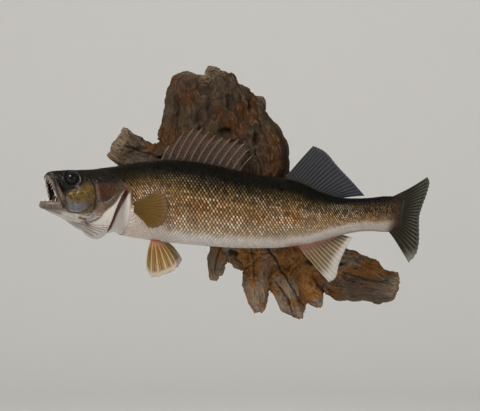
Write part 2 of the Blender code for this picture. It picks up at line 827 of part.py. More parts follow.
def hanger(wood, look):
    """A keyhole plate let into the sawn back, with its two screws."""
    back = -HANGER_SET
    front = back - HANGER_THICKNESS
    pocket = rounded_plate(
        "hanger_pocket", HANGER_WIDTH + 2 * GAP, HANGER_HEIGHT + 2 * GAP, 4 * MM, front - GAP, 5 * MM
    )
    well = round_post("hanger_well", HANGER_X, HANGER_Z + SLOT_RISE / 2, 7 * MM, -11 * MM, 5 * MM)
    cut(wood, pocket, well)
    plate = rounded_plate("hanger_plate", HANGER_WIDTH, HANGER_HEIGHT, 4 * MM, front, back, look)
    key = round_post("key_hole", HANGER_X, HANGER_Z, KEY_RADIUS, front - MM, back + MM)
    slot_low, slot_high = HANGER_Z, HANGER_Z + SLOT_RISE
    slot = box_cutter(
        "key_slot",
        (HANGER_X - SLOT_RADIUS, front - MM, slot_low),
        (HANGER_X + SLOT_RADIUS, back + MM, slot_high),
    )
    cut(plate, key, slot)
    for name, rise in (("hanger_screw_top", 17 * MM), ("hanger_screw_bottom", -17 * MM)):
        z = HANGER_Z + rise
        round_post(name, HANGER_X, z, SCREW_RADIUS, back + GAP, back + GAP + 0.4 * MM, look, sides=12)


# ---------------------------------------------------------------- assembly
def build():
    flesh = material("fish_skin", (0.34, 0.27, 0.13), 0.35)
    membrane = material("fin_membrane", (0.45, 0.38, 0.22), 0.4)
    glass_eye = material("glass_eye", (0.05, 0.06, 0.05), 0.05)
    timber = material("weathered_wood", (0.36, 0.24, 0.14), 0.85)
    steel = material("zinc_steel", (0.6, 0.6, 0.58), 0.35, 1.0)

    # shapes that only cut
    outline = [SKULL_REAR - 4 * MM] + [u * MM for u in TRUNK_STATIONS + STEM_STATIONS] + [FLESH_END + GAP]
    clearance = add_object(
        "body_clearance",
        loft_mesh("body_clearance", [body_ring(u, GAP) for u in outline]),
        guide=True,
    )
    hollow = add_object("mouth_hollow", loft_mesh("mouth_hollow", oval_rings(MOUTH_HOLLOW)), guide=True)
    sockets = []
    for name, side in (("eye_left", LEFT), ("eye_right", RIGHT)):
        where = Matrix.Translation(place(EYE_U, EYE_W * side, EYE_Z))
        bpy.ops.mesh.primitive_uv_sphere_add(segments=14, ring_count=9, radius=EYE_RADIUS)
        ball = take_over(bpy.context.object, name, glass_eye)
        bpy.ops.mesh.primitive_uv_sphere_add(segments=14, ring_count=9, radius=EYE_RADIUS + GAP)
        socket = take_over(bpy.context.object, name + "_socket")
        for piece in (ball, socket):
            piece.data.transform(where)
            piece.data.shade_smooth()
        sockets.append(socket)

    # gill covers and the room they stand in
    rooms = []
    for name, side in (("gill_cover_left", LEFT), ("gill_cover_right", RIGHT)):
        gill_cover(name, side, flesh)
        rooms.append(gill_cover(name + "_room", side))

    # head and lower jaw, from one blend
    lofts = head_lofts()
    upper_teeth = teeth("upper_teeth", UPPER_TEETH, False)
    lower_teeth = teeth("lower_teeth", LOWER_TEETH, True)
    tongue_path = [(Vector(p) * MM, along * MM, across * MM) for *p, along, across in TONGUE]
    add_object("tongue", loft_mesh("tongue", strap(tongue_path, (0, 0, 1))), flesh)
    tongue_room = add_object(
        "tongue_room",
        loft_mesh("tongue_room", strap([(p, a + GAP, b + GAP) for p, a, b in tongue_path], (0, 0, 1))),
        guide=True,
    )
    for name, keep_head in (("head", True), ("lower_jaw", False)):
        piece = add_object(name, loft_mesh(name, *lofts), flesh)
        blend_flesh(piece, FLESH_VOXEL, HEAD_SHARE, 2)
        cut(piece, hollow, tongue_room)
        if keep_head:
            cut(piece, *sockets, *rooms)
        cut(piece, jaw_cutter(name + "_cutter", keep_head))
        modify(piece, "BOOLEAN", operation="UNION", object=upper_teeth if keep_head else lower_teeth)

    # trunk and tail stem
    trunk_rings = [SKULL_REAR + GAP / 2] + [u * MM for u in TRUNK_STATIONS] + [STEM_FRONT - GAP / 2]
    trunk = add_object("trunk", loft_mesh("trunk", [body_ring(u) for u in trunk_rings]), flesh)
    cut(trunk, *rooms)
    stem_rings = [STEM_FRONT + GAP / 2] + [u * MM for u in STEM_STATIONS] + [FLESH_END]
    add_object("tail_stem", loft_mesh("tail_stem", [body_ring(u) for u in stem_rings]), flesh)

    # fins, trimmed to the skin
    fins = (
        ("dorsal_fin_spiny", dorsal_spiny_rays()),
        ("dorsal_fin_soft", dorsal_soft_rays()),
        ("anal_fin", anal_rays()),
        ("tail_fin", tail_rays()),
        ("pectoral_fin_left", paired_rays(LEFT, *PECTORAL_ROOT, PECTORAL_TIPS, 4)),
        ("pectoral_fin_right", paired_rays(RIGHT, *PECTORAL_ROOT, PECTORAL_TIPS_WALL, 4)),
        ("pelvic_fin_left", paired_rays(LEFT, *PELVIC_ROOT_NEAR, PELVIC_TIPS_NEAR, 6)),
        ("pelvic_fin_right", paired_rays(RIGHT, *PELVIC_ROOT_FAR, PELVIC_TIPS_FAR, 6)),
    )
    for name, rays in fins:
        cut(fan_fin(name, rays, membrane), clearance)

    # driftwood: sawn flat at the wall, hollowed where the fish lies
    wood = driftwood(timber)
    wall_cut = box_cutter("wall_cut", (-0.5, 0, -0.5), (0.5, 0.2, 0.5))
    cut(wood, wall_cut, clearance)
    hanger(wood, steel)


build()
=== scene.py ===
"""Mounted walleye on driftwood: the looks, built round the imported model.

Metres, +Z up. The fish swims towards -X and the wall is the plane Y = 0, behind it.
The fish is modelled straight, in body coordinates (u towards the tail, w to the fish's right,
z up), and then bent along its spine, so that skin, scales and fins share one set of markings.
"""

import math
from functools import partial

import bmesh
import bpy
import numpy as np
from bpy.props import FloatProperty, FloatVectorProperty, IntProperty, PointerProperty
from mathutils import Matrix, Vector
from mathutils.bvhtree import BVHTree


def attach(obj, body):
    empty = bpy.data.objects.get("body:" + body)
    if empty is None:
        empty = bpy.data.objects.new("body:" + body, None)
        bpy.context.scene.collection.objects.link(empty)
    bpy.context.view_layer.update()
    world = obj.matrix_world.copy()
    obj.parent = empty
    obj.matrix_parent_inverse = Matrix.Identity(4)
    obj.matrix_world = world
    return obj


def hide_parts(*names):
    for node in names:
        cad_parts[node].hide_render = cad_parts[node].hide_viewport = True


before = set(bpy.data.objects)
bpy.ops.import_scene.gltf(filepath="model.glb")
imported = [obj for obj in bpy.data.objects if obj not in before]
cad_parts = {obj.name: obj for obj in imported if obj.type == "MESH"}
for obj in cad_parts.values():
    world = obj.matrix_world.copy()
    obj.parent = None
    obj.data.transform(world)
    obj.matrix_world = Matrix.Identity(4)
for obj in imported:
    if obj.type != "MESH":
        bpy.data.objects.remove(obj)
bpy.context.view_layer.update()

bl_info = {
    "name": "Mounted walleye",
    "version": (1, 0, 0),
    "blender": (4, 5, 0),
    "location": "View3D > Sidebar > Walleye",
    "description": "Builds a life-size mounted walleye on its driftwood panel",
    "category": "Object",
}

MM = 0.001
LEFT, RIGHT = -1, 1


# ---- numbers along the fish
def smooth_step(t):
    t = np.clip(t, 0.0, 1.0)
    return t * t * (3 - 2 * t)


def ease(value, low, high):
    """0 below low, 1 above high and smooth between. low may be the larger number."""
    return smooth_step((value - low) / (high - low))


def mix(a, b, t):
    return a + (b - a) * t


def curve_through(points):
    """A smooth function through (x, y) points, with each slope taken from its neighbours."""
    x, y = np.array(points, float).T
    slope = np.gradient(y, x)

    def value(at):
        at = np.clip(np.asarray(at, float), x[0], x[-1])
        i = np.clip(np.searchsorted(x, at) - 1, 0, len(x) - 2)
        step = x[i + 1] - x[i]
        t = (at - x[i]) / step
        return (
            y[i] * (1 + 2 * t) * (1 - t) ** 2
            + slope[i] * step * t * (1 - t) ** 2
            + y[i + 1] * t * t * (3 - 2 * t)
            + slope[i + 1] * step * t * t * (t - 1)
        )

    return value


def unit(vectors):
    """Vectors made one long."""
    return vectors / np.maximum(np.linalg.norm(vectors, axis=-1, keepdims=True), 1e-12)


def reach_along(line):
    """How far along a line each of its points is."""
    return np.concatenate([[0], np.cumsum(np.linalg.norm(np.diff(line, axis=0), axis=1))])


def resampled(rows, count):
    """Rows of numbers made into count rows on smooth curves through them."""
    rows = np.array(rows, float)
    at = np.linspace(0, len(rows) - 1, count)
    index = np.arange(len(rows))
    return np.stack([curve_through(np.stack([index, c], 1))(at) for c in rows.T], 1)


# Body profile: u, back, belly, half width, in millimetres.
BODY_PROFILE = (
    (-338, 47, 40, 5), (-333, 49.5, 31, 12), (-322, 51.5, 14, 18), (-308, 52.5, -10, 22.5),
    (-298, 53, -30, 26), (-286, 53, -43, 31), (-271, 53.5, -56, 36), (-257, 54, -66, 39.5),
    (-244, 55, -70.5, 42.5), (-230, 57.2, -68, 45.5), (-215, 59.3, -63.5, 46.5), (-200, 61.8, -63.5, 46.5),
    (-180, 65.2, -66.8, 46.5), (-144, 70.4, -72.8, 48), (-90, 71.2, -79, 50), (-36, 64.6, -83.6, 50),
    (18, 52.2, -86.8, 48.5), (54, 45, -87.1, 46), (90, 40.2, -86, 42.5), (126, 31.6, -81.9, 37),
    (162, 15.4, -73.8, 31), (198, 5.2, -64, 25), (234, 3.4, -57.2, 20), (262, 4.4, -55.6, 16.5),
    (290, 6.8, -56.6, 12.5), (306, 6.4, -56, 9.5), (322, 3, -52, 5.5), (334, 0.9, -51, 0.9),
)
FLESH_END = 322 * MM
SECTION_POWER, THROAT_POWER = 2.25, 1.7
THROAT_REAR, BREAST_FRONT = -245, -190

back_line = curve_through([(u, back) for u, back, belly, half in BODY_PROFILE])
belly_line = curve_through([(u, belly) for u, back, belly, half in BODY_PROFILE])
half_width = curve_through([(u, half) for u, back, belly, half in BODY_PROFILE])

# ---- the bent spine
SPINE_Y = -105 * MM
HEAD_TURN, NECK_FRONT, NECK_REAR = math.radians(25), -215 * MM, -70 * MM
TAIL_TURN, TAIL_BEND_START, TAIL_BEND_END = math.radians(50), 70 * MM, 350 * MM
TAIL_ROLL, TAIL_ROLL_START, TAIL_ROLL_END = math.radians(13), 250 * MM, 350 * MM
TAIL_AXIS_Z = -24 * MM
SPINE_STEP = 1 * MM
SPINE_U = np.arange(-420 * MM, 480 * MM, SPINE_STEP)
SPINE_ANGLE = HEAD_TURN * smooth_step((NECK_REAR - SPINE_U) / (NECK_REAR - NECK_FRONT)) - (
    TAIL_TURN * smooth_step((SPINE_U - TAIL_BEND_START) / (TAIL_BEND_END - TAIL_BEND_START))
)


def summed(values):
    """The running integral along the spine, zero at u = 0."""
    total = np.concatenate([[0], np.cumsum((values[1:] + values[:-1]) / 2)]) * SPINE_STEP
    return total - np.interp(0, SPINE_U, total)


SPINE_X = summed(np.cos(SPINE_ANGLE))
SPINE_DEPTH = SPINE_Y + summed(np.sin(SPINE_ANGLE))


def place(points):
    """Points of the straight fish, set where the bent fish has them."""
    u, w, z = np.moveaxis(np.asarray(points, float), -1, 0)
    roll = TAIL_ROLL * ease(u, TAIL_ROLL_START, TAIL_ROLL_END)
    above = z - TAIL_AXIS_Z
    side = w * np.cos(roll) + above * np.sin(roll)
    height = TAIL_AXIS_Z + above * np.cos(roll) - w * np.sin(roll)
    angle = np.interp(u, SPINE_U, SPINE_ANGLE)
    x = np.interp(u, SPINE_U, SPINE_X) - side * np.sin(angle)
    y = np.interp(u, SPINE_U, SPINE_DEPTH) + side * np.cos(angle)
    return np.stack([x, y, height], -1)


def section_power(u, below):
    """How square the body's outline is. The throat is keeled below its middle."""
    keel = ease(u / MM, BREAST_FRONT, THROAT_REAR)
    return np.where(below, mix(SECTION_POWER, THROAT_POWER, keel), SECTION_POWER)


def section(u, turn, extra=0.0):
    """Points on the body's outline. turn is 0 at the fish's right and 90 degrees on top."""
    u, turn, extra = np.broadcast_arrays(u, turn, extra)
    back = back_line(u / MM) * MM + extra
    belly = belly_line(u / MM) * MM - extra
    half = half_width(u / MM) * MM + extra
    middle = (back + belly) / 2
    c, s = np.cos(turn), np.sin(turn)
    power = section_power(u, s < 0)
    w = half * np.sign(c) * np.abs(c) ** (2 / power)
    z = middle + (back - middle) * np.sign(s) * np.abs(s) ** (2 / power)
    return np.stack([u, w, z], -1)


# The gill covers stand in a chamber that is let into the body, from the cheek to the shoulder.
CHAMBER_TOP, CHAMBER_FADE = math.radians(37), math.radians(9)
CHAMBER_DEPTH, CHAMBER_FRONT, CHAMBER_STEP = 6 * MM, -258 * MM, 12 * MM
CHAMBER_REAR = (-210 * MM, -196 * MM)


def chamber_share(u, turn):
    height = np.arcsin(np.sin(turn))
    below = smooth_step((CHAMBER_TOP - height) / CHAMBER_FADE)
    enters = smooth_step((u - CHAMBER_FRONT) / CHAMBER_STEP)
    return below * enters * ease(u, CHAMBER_REAR[1], CHAMBER_REAR[0])


# Where scales begin behind the head, against the turn round the body in degrees, and where they end.
SCALES_START = curve_through(
    [(-90, -203), (-60, -203), (-30, -198), (0, -199), (20, -202), (34, -213), (50, -228), (90, -240)]
)
SCALED_FRONT = -236
SCALES_END = 331 * MM
UNDER_SCALES = 0.75 * MM  # how far the skin is let in under the scales


def scaled_share(u, turn):
    """1 on the scaled body, 0 on the naked head."""
    start = SCALES_START(np.degrees(np.arcsin(np.sin(turn)))) * MM
    return smooth_step((u - start) / (6 * MM)) * smooth_step((SCALES_END - u) / (8 * MM))


# ---- noise for carved shapes
def lattice_noise(points, seed=0):
    """Smooth noise from -1 to 1, with features one unit across."""
    cell = np.floor(points).astype(np.int64)
    f = points - cell
    f = f * f * (3 - 2 * f)
    total = np.zeros(len(points))
    for corner in np.ndindex(2, 2, 2):
        c = cell + np.array(corner)
        mixed = c[:, 0] * 73856093 ^ c[:, 1] * 19349663 ^ c[:, 2] * 83492791 ^ (seed * 2654435761 + 97)
        mixed = (mixed ^ (mixed >> 13)) * 1274126177 & 0xFFFFFFFF
        value = ((mixed ^ (mixed >> 16)) & 0xFFFF) / 32767.5 - 1
        total += value * np.prod(np.where(np.array(corner) == 1, f, 1 - f), 1)
    return total


def layered_noise(points, seed=0, layers=3):
    total, size = 0.0, 1.0
    for k in range(layers):
        total = total + lattice_noise(points * 2**k, seed + k) * size
        size *= 0.5
    return total


# ---- mesh helpers
def make_mesh(name, points, faces, edges=()):
    mesh = bpy.data.meshes.new(name)
    mesh.from_pydata(np.asarray(points, float).reshape(-1, 3).tolist(), list(edges), faces)
    mesh.update()
    return mesh


def ring_faces(rows, columns, offset=0, closed=True):
    """Quads between rows of points, as a list of index tuples."""
    reach = columns if closed else columns - 1
    i, k = np.meshgrid(np.arange(rows - 1), np.arange(reach), indexing="ij")
    n = (k + 1) % columns
    quads = np.stack([i * columns + k, i * columns + n, (i + 1) * columns + n, (i + 1) * columns + k], -1)
    return [tuple(q) for q in (quads.reshape(-1, 4) + offset).tolist()]


def loft_mesh(name, *lofts):
    """Closed lofts through rings, given as arrays of rings, sides and three coordinates."""
    points, faces = [], []
    for rings in lofts:
        rings = np.asarray(rings, float)
        rows, sides = rings.shape[:2]
        offset = sum(len(p) for p in points)
        faces += ring_faces(rows, sides, offset)
        faces.append(tuple(offset + k for k in range(sides)))
        faces.append(tuple(offset + (rows - 1) * sides + k for k in range(sides)))
        points.append(rings.reshape(-1, 3))
    return turned_outwards(make_mesh(name, np.concatenate(points), faces))


def turned_outwards(mesh):
    """The mesh with its faces pointing outwards."""
    work = bmesh.new()
    work.from_mesh(mesh)
    bmesh.ops.recalc_face_normals(work, faces=work.faces)
    work.to_mesh(mesh)
    work.free()
    return mesh


def plate_mesh(name, front, back):
    """A thin closed plate between two walls, each a grid of points."""
    rows, columns = front.shape[:2]
    count = rows * columns
    faces = ring_faces(rows, columns, closed=False)
    faces += [tuple(k + count for k in f[::-1]) for f in faces]
    grid = np.arange(count).reshape(rows, columns)
    rim = np.concatenate([grid[0], grid[1:, -1], grid[-1, -2::-1], grid[-2:0:-1, 0]]).tolist()
    faces += [(b, a, a + count, b + count) for a, b in zip(rim, rim[1:] + rim[:1])]
    points = np.concatenate([front.reshape(-1, 3), back.reshape(-1, 3)])
    return turned_outwards(make_mesh(name, points, faces))


def add_object(name, mesh):
    made = bpy.data.objects.new(name, mesh)
    bpy.context.scene.collection.objects.link(made)
    return made


def modify(piece, kind, **settings):
    modifier = piece.modifiers.new(kind.title(), kind)
    for key, value in settings.items():
        setattr(modifier, key, value)
    return modifier


def settle(piece, name=None):
    """A plain mesh of the piece as its modifiers leave it. The piece and its old mesh go."""
    bpy.context.view_layer.update()
    graph = bpy.context.evaluated_depsgraph_get()
    mesh = bpy.data.meshes.new_from_object(piece.evaluated_get(graph))
    name = name or piece.name
    old = piece.data
    bpy.data.objects.remove(piece)
    if old.users == 0:
        bpy.data.meshes.remove(old)
    mesh.name = name
    return mesh


def joined(name, *meshes):
    """One mesh of several, by their points and faces only."""
    work = bmesh.new()
    for mesh in meshes:
        work.from_mesh(mesh)
    made = bpy.data.meshes.new(name)
    work.to_mesh(made)
    work.free()
    return made


def coordinates(mesh):
    found = np.zeros(len(mesh.vertices) * 3)
    mesh.vertices.foreach_get("co", found)
    return found.reshape(-1, 3)


def set_coordinates(mesh, points):
    mesh.vertices.foreach_set("co", np.asarray(points, np.float32).ravel())
    mesh.update()


def normals_of(mesh):
    found = np.zeros(len(mesh.vertices) * 3, np.float32)
    mesh.vertex_normals.foreach_get("vector", found)
    return found.reshape(-1, 3).astype(float)


def triangles_of(mesh):
    count = np.zeros(len(mesh.polygons), np.int32)
    mesh.polygons.foreach_get("loop_total", count)
    return int((count - 2).sum())


def store(mesh, **layers):
    """Keeps numbers or vectors for each point, by name, for the materials to read."""
    for name, values in layers.items():
        values = np.asarray(values, np.float32)
        kind, key = ("FLOAT", "value") if values.ndim == 1 else ("FLOAT_VECTOR", "vector")
        layer = mesh.attributes.get(name) or mesh.attributes.new(name, kind, "POINT")
        layer.data.foreach_set(key, values.ravel())


def finish_piece(piece, stands_for=()):
    """Hangs a finished piece on the model's one body and hides the model's parts that it stands for."""
    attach(piece, "root")
    if stands_for:
        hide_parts(*stands_for)
    return piece


def turns(count):
    return np.arange(count) * 2 * math.pi / count


# ---- node helpers
def arithmetic(operation, swapped=False):
    """A method that adds a Math node for a signal and another value."""
    return lambda one, other: one.nodes.maths(operation, *((other, one) if swapped else (one, other)))


class Signal:
    """What a node puts out. Arithmetic with it adds Math nodes to its tree."""

    def __init__(self, nodes, socket):
        self.nodes, self.socket = nodes, socket

    def __abs__(self):
        return self.nodes.maths("ABSOLUTE", self)

    __add__ = __radd__ = arithmetic("ADD")
    __mul__ = __rmul__ = arithmetic("MULTIPLY")
    __sub__, __rsub__ = arithmetic("SUBTRACT"), arithmetic("SUBTRACT", swapped=True)
    __truediv__, __pow__ = arithmetic("DIVIDE"), arithmetic("POWER")


class Nodes:
    """Short ways to add nodes to a tree. Values may be signals, sockets, numbers or colours."""

    def __init__(self, tree):
        self.tree, self.shader = tree, None

    def give(self, socket, value):
        value = getattr(value, "socket", value)
        if isinstance(value, bpy.types.NodeSocket):
            self.tree.links.new(value, socket)
        elif value is not None:
            if hasattr(socket.default_value, "__len__") and len(socket.default_value) == 4:
                value = tuple(value)[:3] + (1.0,)
            socket.default_value = value

    def add(self, kind, inputs=(), **settings):
        node = self.tree.nodes.new(kind)
        for key, value in settings.items():
            setattr(node, key, value)
        for key, value in dict(inputs).items():
            self.give(node.inputs[key], value)
        return node

    def out(self, kind, inputs=(), output=0, **settings):
        """One output of a new node."""
        return Signal(self, self.add(kind, inputs, **settings).outputs[output])

    def outs(self, node):
        """All outputs of a node, by name."""
        return {socket.name: Signal(self, socket) for socket in node.outputs}

    def group(self, tree, inputs):
        return self.outs(self.add("ShaderNodeGroup", inputs, node_tree=tree))

    def shade(self, **looks):
        """Sets or links sockets of the material's shader, named with _ for spaces."""
        for name, value in looks.items():
            self.give(self.shader.inputs[name.replace("_", " ")], value)

    def axes(self, vector):
        """The three numbers of a vector."""
        return list(self.outs(self.add("ShaderNodeSeparateXYZ", {0: vector})).values())

    def maths(self, operation, *values, clamp=False):
        return self.out("ShaderNodeMath", enumerate(values), operation=operation, use_clamp=clamp)

    def blend(self, factor, a, b, way="MIX"):
        inputs = {0: factor, 6: a, 7: b}
        return self.out("ShaderNodeMix", inputs, 2, data_type="RGBA", blend_type=way)

    def tint(self, factor, colour, tint):
        """The colour multiplied by the tint, by the factor."""
        return self.blend(factor, colour, tint, "MULTIPLY")

    def noise(self, vector, scale, detail=2.0, roughness=0.5, distortion=0.0):
        inputs = {"Vector": vector, "Scale": scale, "Detail": detail, "Roughness": roughness}
        return self.out("ShaderNodeTexNoise", {**inputs, "Distortion": distortion})

    def span(self, value, low, high, out_low=0.0, out_high=1.0):
        """A smooth step from out_low where the value is low to out_high where it is high."""
        inputs = {0: value, 1: low, 2: high, 3: out_low, 4: out_high}
        return self.out("ShaderNodeMapRange", inputs, interpolation_type="SMOOTHSTEP")

    def stretch(self, vector, scale):
        return self.out("ShaderNodeMapping", {"Vector": vector, "Scale": scale})

    def attribute(self, name, output="Fac"):
        return self.out("ShaderNodeAttribute", (), output, attribute_name=name)

    def vector(self, name):
        return self.attribute(name, "Vector")

    def ramp(self, value, stops):
        node = self.add("ShaderNodeValToRGB", {0: value})
        elements = node.color_ramp.elements
        while len(elements) < len(stops):
            elements.new(0.5)
        for element, (at, colour) in zip(elements, stops):
            element.position = at
            element.color = (*colour, 1)
        return node.outputs[0]

    def bump(self, height, strength, distance):
        inputs = {"Strength": strength, "Distance": distance, "Height": height}
        return self.out("ShaderNodeBump", inputs)


def new_material(name):
    """A material with its shader, and the short ways to add nodes to it."""
    made = bpy.data.materials.new(name)
    made.use_nodes = True
    made.node_tree.nodes.clear()
    nodes = Nodes(made.node_tree)
    nodes.shader = nodes.add("ShaderNodeBsdfPrincipled")
    nodes.add("ShaderNodeOutputMaterial", {0: nodes.shader.outputs[0]})
    return made, nodes


def new_tree(name, kind, inputs, outputs):
    """A node group with named sockets, given as name and kind, and its in and out sockets."""
    tree = bpy.data.node_groups.new(name, kind)
    for way, sockets in (("INPUT", inputs), ("OUTPUT", outputs)):
        for label, socket in sockets.items():
            tree.interface.new_socket(label, in_out=way, socket_type="NodeSocket" + socket)
    nodes = Nodes(tree)
    return tree, nodes, nodes.outs(nodes.add("NodeGroupInput")), nodes.add("NodeGroupOutput").inputs


def tree_named(name, maker, *settings):
    return bpy.data.node_groups.get(name) or maker(*settings)


# ---- what a user may change
def colour(name, description, default):
    return FloatVectorProperty(
        name=name, description=description, default=default, subtype="COLOR", min=0, max=1, size=3
    )


def length(name, description, default):
    return FloatProperty(
        name=name, description=description, default=default, subtype="DISTANCE", unit="LENGTH"
    )


class SkinSettings(bpy.types.PropertyGroup):
    voxel: length("Detail", "Size of the finest skin detail", 1.12 * MM)
    body_triangles: IntProperty(
        name="Body triangles", description="Triangles left under the scales", default=26000
    )
    back: colour("Back", "Skin along the back", (0.011, 0.010, 0.005))
    upper_flank: colour("Upper flank", "Skin above the middle of the side", (0.048, 0.034, 0.015))
    flank: colour("Flank", "Skin along the middle of the side", (0.27, 0.158, 0.070))
    lower_flank: colour("Lower flank", "Skin below the middle of the side", (0.40, 0.30, 0.20))
    belly: colour("Belly", "Skin under the fish", (0.76, 0.69, 0.63))
    gold: colour("Cheek gold", "Cheek and preopercle", (0.165, 0.102, 0.022))
    rust: colour("Gill cover", "Upper gill cover", (0.055, 0.021, 0.007))
    steel: colour("Lower cheek", "Blue-grey lower cheek", (0.150, 0.140, 0.145))
    pink: colour("Throat sides", "Pinkish plates under the cheek", (0.21, 0.125, 0.095))
    white: colour("Gill membrane", "White gill membrane and chin", (0.64, 0.59, 0.54))
    lip: colour("Lips", "Pale edges of the lips", (0.18, 0.128, 0.095))
    red: colour("Gill opening", "Inside of mouth and gills", (0.17, 0.036, 0.024))
    # Dark lines: the head's own dark marks, and painted shade in its grooves and folds
    dark: colour("Dark lines", "Grooves and dark edges of the head", (0.012, 0.0095, 0.0055))


class ScaleSettings(bpy.types.PropertyGroup):
    pitch: length("Pitch", "Distance from scale to scale along the body", 5.8 * MM)
    row: length("Row", "Distance from row to row round the body", 4.4 * MM)
    thickness: length("Thickness", "Thickness of a scale", 0.35 * MM)
    lift: length("Lift", "How far a scale's free edge stands off the skin", 0.75 * MM)
    seed: IntProperty(name="Seed", description="Seed of the small differences", default=7)
    rim: FloatProperty(
        name="Dark rim",
        description="How dark a scale's edge is",
        default=0.88,
        min=0,
        max=1,
        subtype="FACTOR",
    )


class FinSettings(bpy.types.PropertyGroup):
    membrane: length("Membrane", "Thickness of a fin's membrane", 0.6 * MM)
    ray_root: length("Ray root", "Radius of a ray at its root", 0.65 * MM)
    ray_tip: length("Ray tip", "Radius of a ray at its tip", 0.24 * MM)
    spine_root: length("Spine root", "Radius of a spine at its root", 0.85 * MM)


class EyeSettings(bpy.types.PropertyGroup):
    radius: length("Radius", "Radius of the glass eye", 12.9 * MM)
    iris: colour("Iris", "Colour of the iris", (0.011, 0.010, 0.008))
    shine: colour("Eye shine", "Milky shine deep in the eye", (0.022, 0.032, 0.042))


class WoodSettings(bpy.types.PropertyGroup):
    voxel: length("Detail", "Size of the finest carved detail", 2.1 * MM)
    lumps: length("Lumps", "Height of the broad lumps", 11 * MM)
    grain: length("Grain", "Depth of the open grain", 2.2 * MM)
    grey: colour("Weathered", "Grey-beige weathered wood", (0.235, 0.175, 0.125))
    brown: colour("Bare", "Orange-brown bare wood", (0.30, 0.128, 0.028))
    # painted shade inside the cracks and hollows
    deep: colour("Hollows", "Dark inside cracks and hollows", (0.030, 0.018, 0.010))


class StageSettings(bpy.types.PropertyGroup):
    distance: length("Camera distance", "From the fish to the camera", 3.0)
    lens: FloatProperty(name="Lens", description="Focal length in millimetres", default=125.0)
    pale: colour("Backdrop", "Floor and walls of the studio", (0.80, 0.79, 0.77))


class WalleyeSettings(bpy.types.PropertyGroup):
    skin: PointerProperty(type=SkinSettings, name="Skin", description="Skin and markings")
    scales: PointerProperty(type=ScaleSettings, name="Scales", description="Scales over the skin")
    fins: PointerProperty(type=FinSettings, name="Fins", description="Fins")
    eyes: PointerProperty(type=EyeSettings, name="Eyes", description="Glass eyes")
    wood: PointerProperty(type=WoodSettings, name="Driftwood", description="Driftwood panel")
    stage: PointerProperty(type=StageSettings, name="Stage", description="Camera, lights and backdrop")


# ---- head shapes, in millimetres
# Strap paths: u, w, z, radius along the hint, radius across.
UPPER_LIP = (
    (-318, 28.5, -11, 2.4, 2.6), (-322, 25.5, 0, 2.6, 3), (-327, 20.5, 15, 3, 3.2),
    (-332, 14.5, 30, 3.2, 3.2), (-336.5, 8, 38.5, 3.3, 3.3), (-338.5, 0, 41, 3.4, 3.4),
)
MAXILLA = (
    (-327, 17, 38, 2, 3.5), (-323, 22, 24, 2.4, 5), (-318.5, 26, 10, 2.6, 6), (-315, 29.5, -4, 2.6, 7),
    (-312.5, 31, -15, 2.2, 6),
)
LOWER_RAMUS = (
    (-268, 34, -24, 8, 4.5), (-288, 32.5, -20, 9, 5), (-310, 28, -15, 8.5, 5), (-328, 21.5, -11, 8.5, 5),
    (-341.5, 11.5, -9.5, 7.5, 5), (-345, 0, -9, 7, 4.5),
)
TONGUE = (
    (-282, 0, -24, 5, 11), (-300, 0, -21, 5, 11), (-316, 0, -17.5, 3.6, 9), (-326, 0, -16, 2, 6),
)
MOUTH_FLOOR = (
    (-343, -10, -16, 6), (-336, -13, -20, 13), (-324, -16, -26, 21.5), (-308, -19, -33, 28),
    (-292, -22, -41, 31.5), (-274, -26, -54, 34),
)
MOUTH_HOLLOW = (
    (-352, 31, 2, 7), (-342, 31, -5, 9.5), (-334, 30, -14, 13), (-326, 28, -18, 15.5), (-312, 23, -20, 17),
    (-295, 14, -24, 18), (-275, 6, -26, 17), (-258, -4, -22, 12), (-250, -10, -18, 5),
)
CHEEK = (-268, 28, 3, 31, 13, 28)
MOUTH_CORNER = (-305, 26.5, -8, 12, 5, 17)
EYE = np.array((-297, 17.5, 37.5)) * MM
SOCKET_RADIUS = 12.4 * MM

# Front and rear edge of a gill cover and how far it stands off, from its top (0) to its foot (1).
COVER_TOP_TURN, COVER_FOOT_TURN = math.radians(34), math.radians(-86)
cover_front = curve_through([(0, -256), (0.3, -262), (0.5, -264), (0.7, -272), (0.85, -279), (1, -284)])
cover_rear = curve_through(
    [
        (0, -227),
        (0.06, -217),
        (0.15, -206.5),
        (0.25, -216),
        (0.4, -226.5),
        (0.6, -233),
        (0.82, -238),
        (1, -252),
    ]
)
cover_flare = curve_through([(0, 2), (0.15, 4), (0.4, 7), (0.7, 6), (1, 1.5)])


def past_cover(u, turn):
    """How far, in millimetres, a place on the body is behind the rear edge of the gill cover."""
    down = (COVER_TOP_TURN - turn) / (COVER_TOP_TURN - COVER_FOOT_TURN)
    return u / MM - cover_rear(np.clip(down, 0, 1))


COVER_SINK, COVER_THICKNESS = 1.5 * MM, 2.6 * MM
COVER_ROWS, COVER_COLUMNS = 72, 30
LOFT_SIDES, STRAP_SIDES = 72, 20


def strap_rings(path, side, hint, stations=28):
    """Rings of an oval tube along a path, closed at both ends by a smaller ring."""
    rows = resampled(path, stations)
    rows[:, 1] *= side
    point, along, across = rows[:, :3] * MM, rows[:, 3] * MM, rows[:, 4] * MM
    run, hint = unit(np.gradient(point, axis=0)), np.array(hint, float)
    first = unit(hint - run * (run @ hint)[:, None])
    second = np.cross(run, first)
    a = turns(STRAP_SIDES)[None, :, None]
    return (
        point[:, None]
        + (first * along[:, None])[:, None] * np.cos(a)
        + (second * across[:, None])[:, None] * np.sin(a)
    )


def oval_rings(stations, count=28, sides=40, wider=0.0):
    """Rings of an oval tube on the midline from (u, top, bottom, half width) stations."""
    u, top, bottom, half = resampled(stations, count).T[:, :, None] * MM
    a = turns(sides)[None]
    z = (top + bottom) / 2 + ((top - bottom) / 2 + wider) * np.sin(a)
    return np.stack([u + 0 * a, (half + wider) * np.cos(a), z], -1)


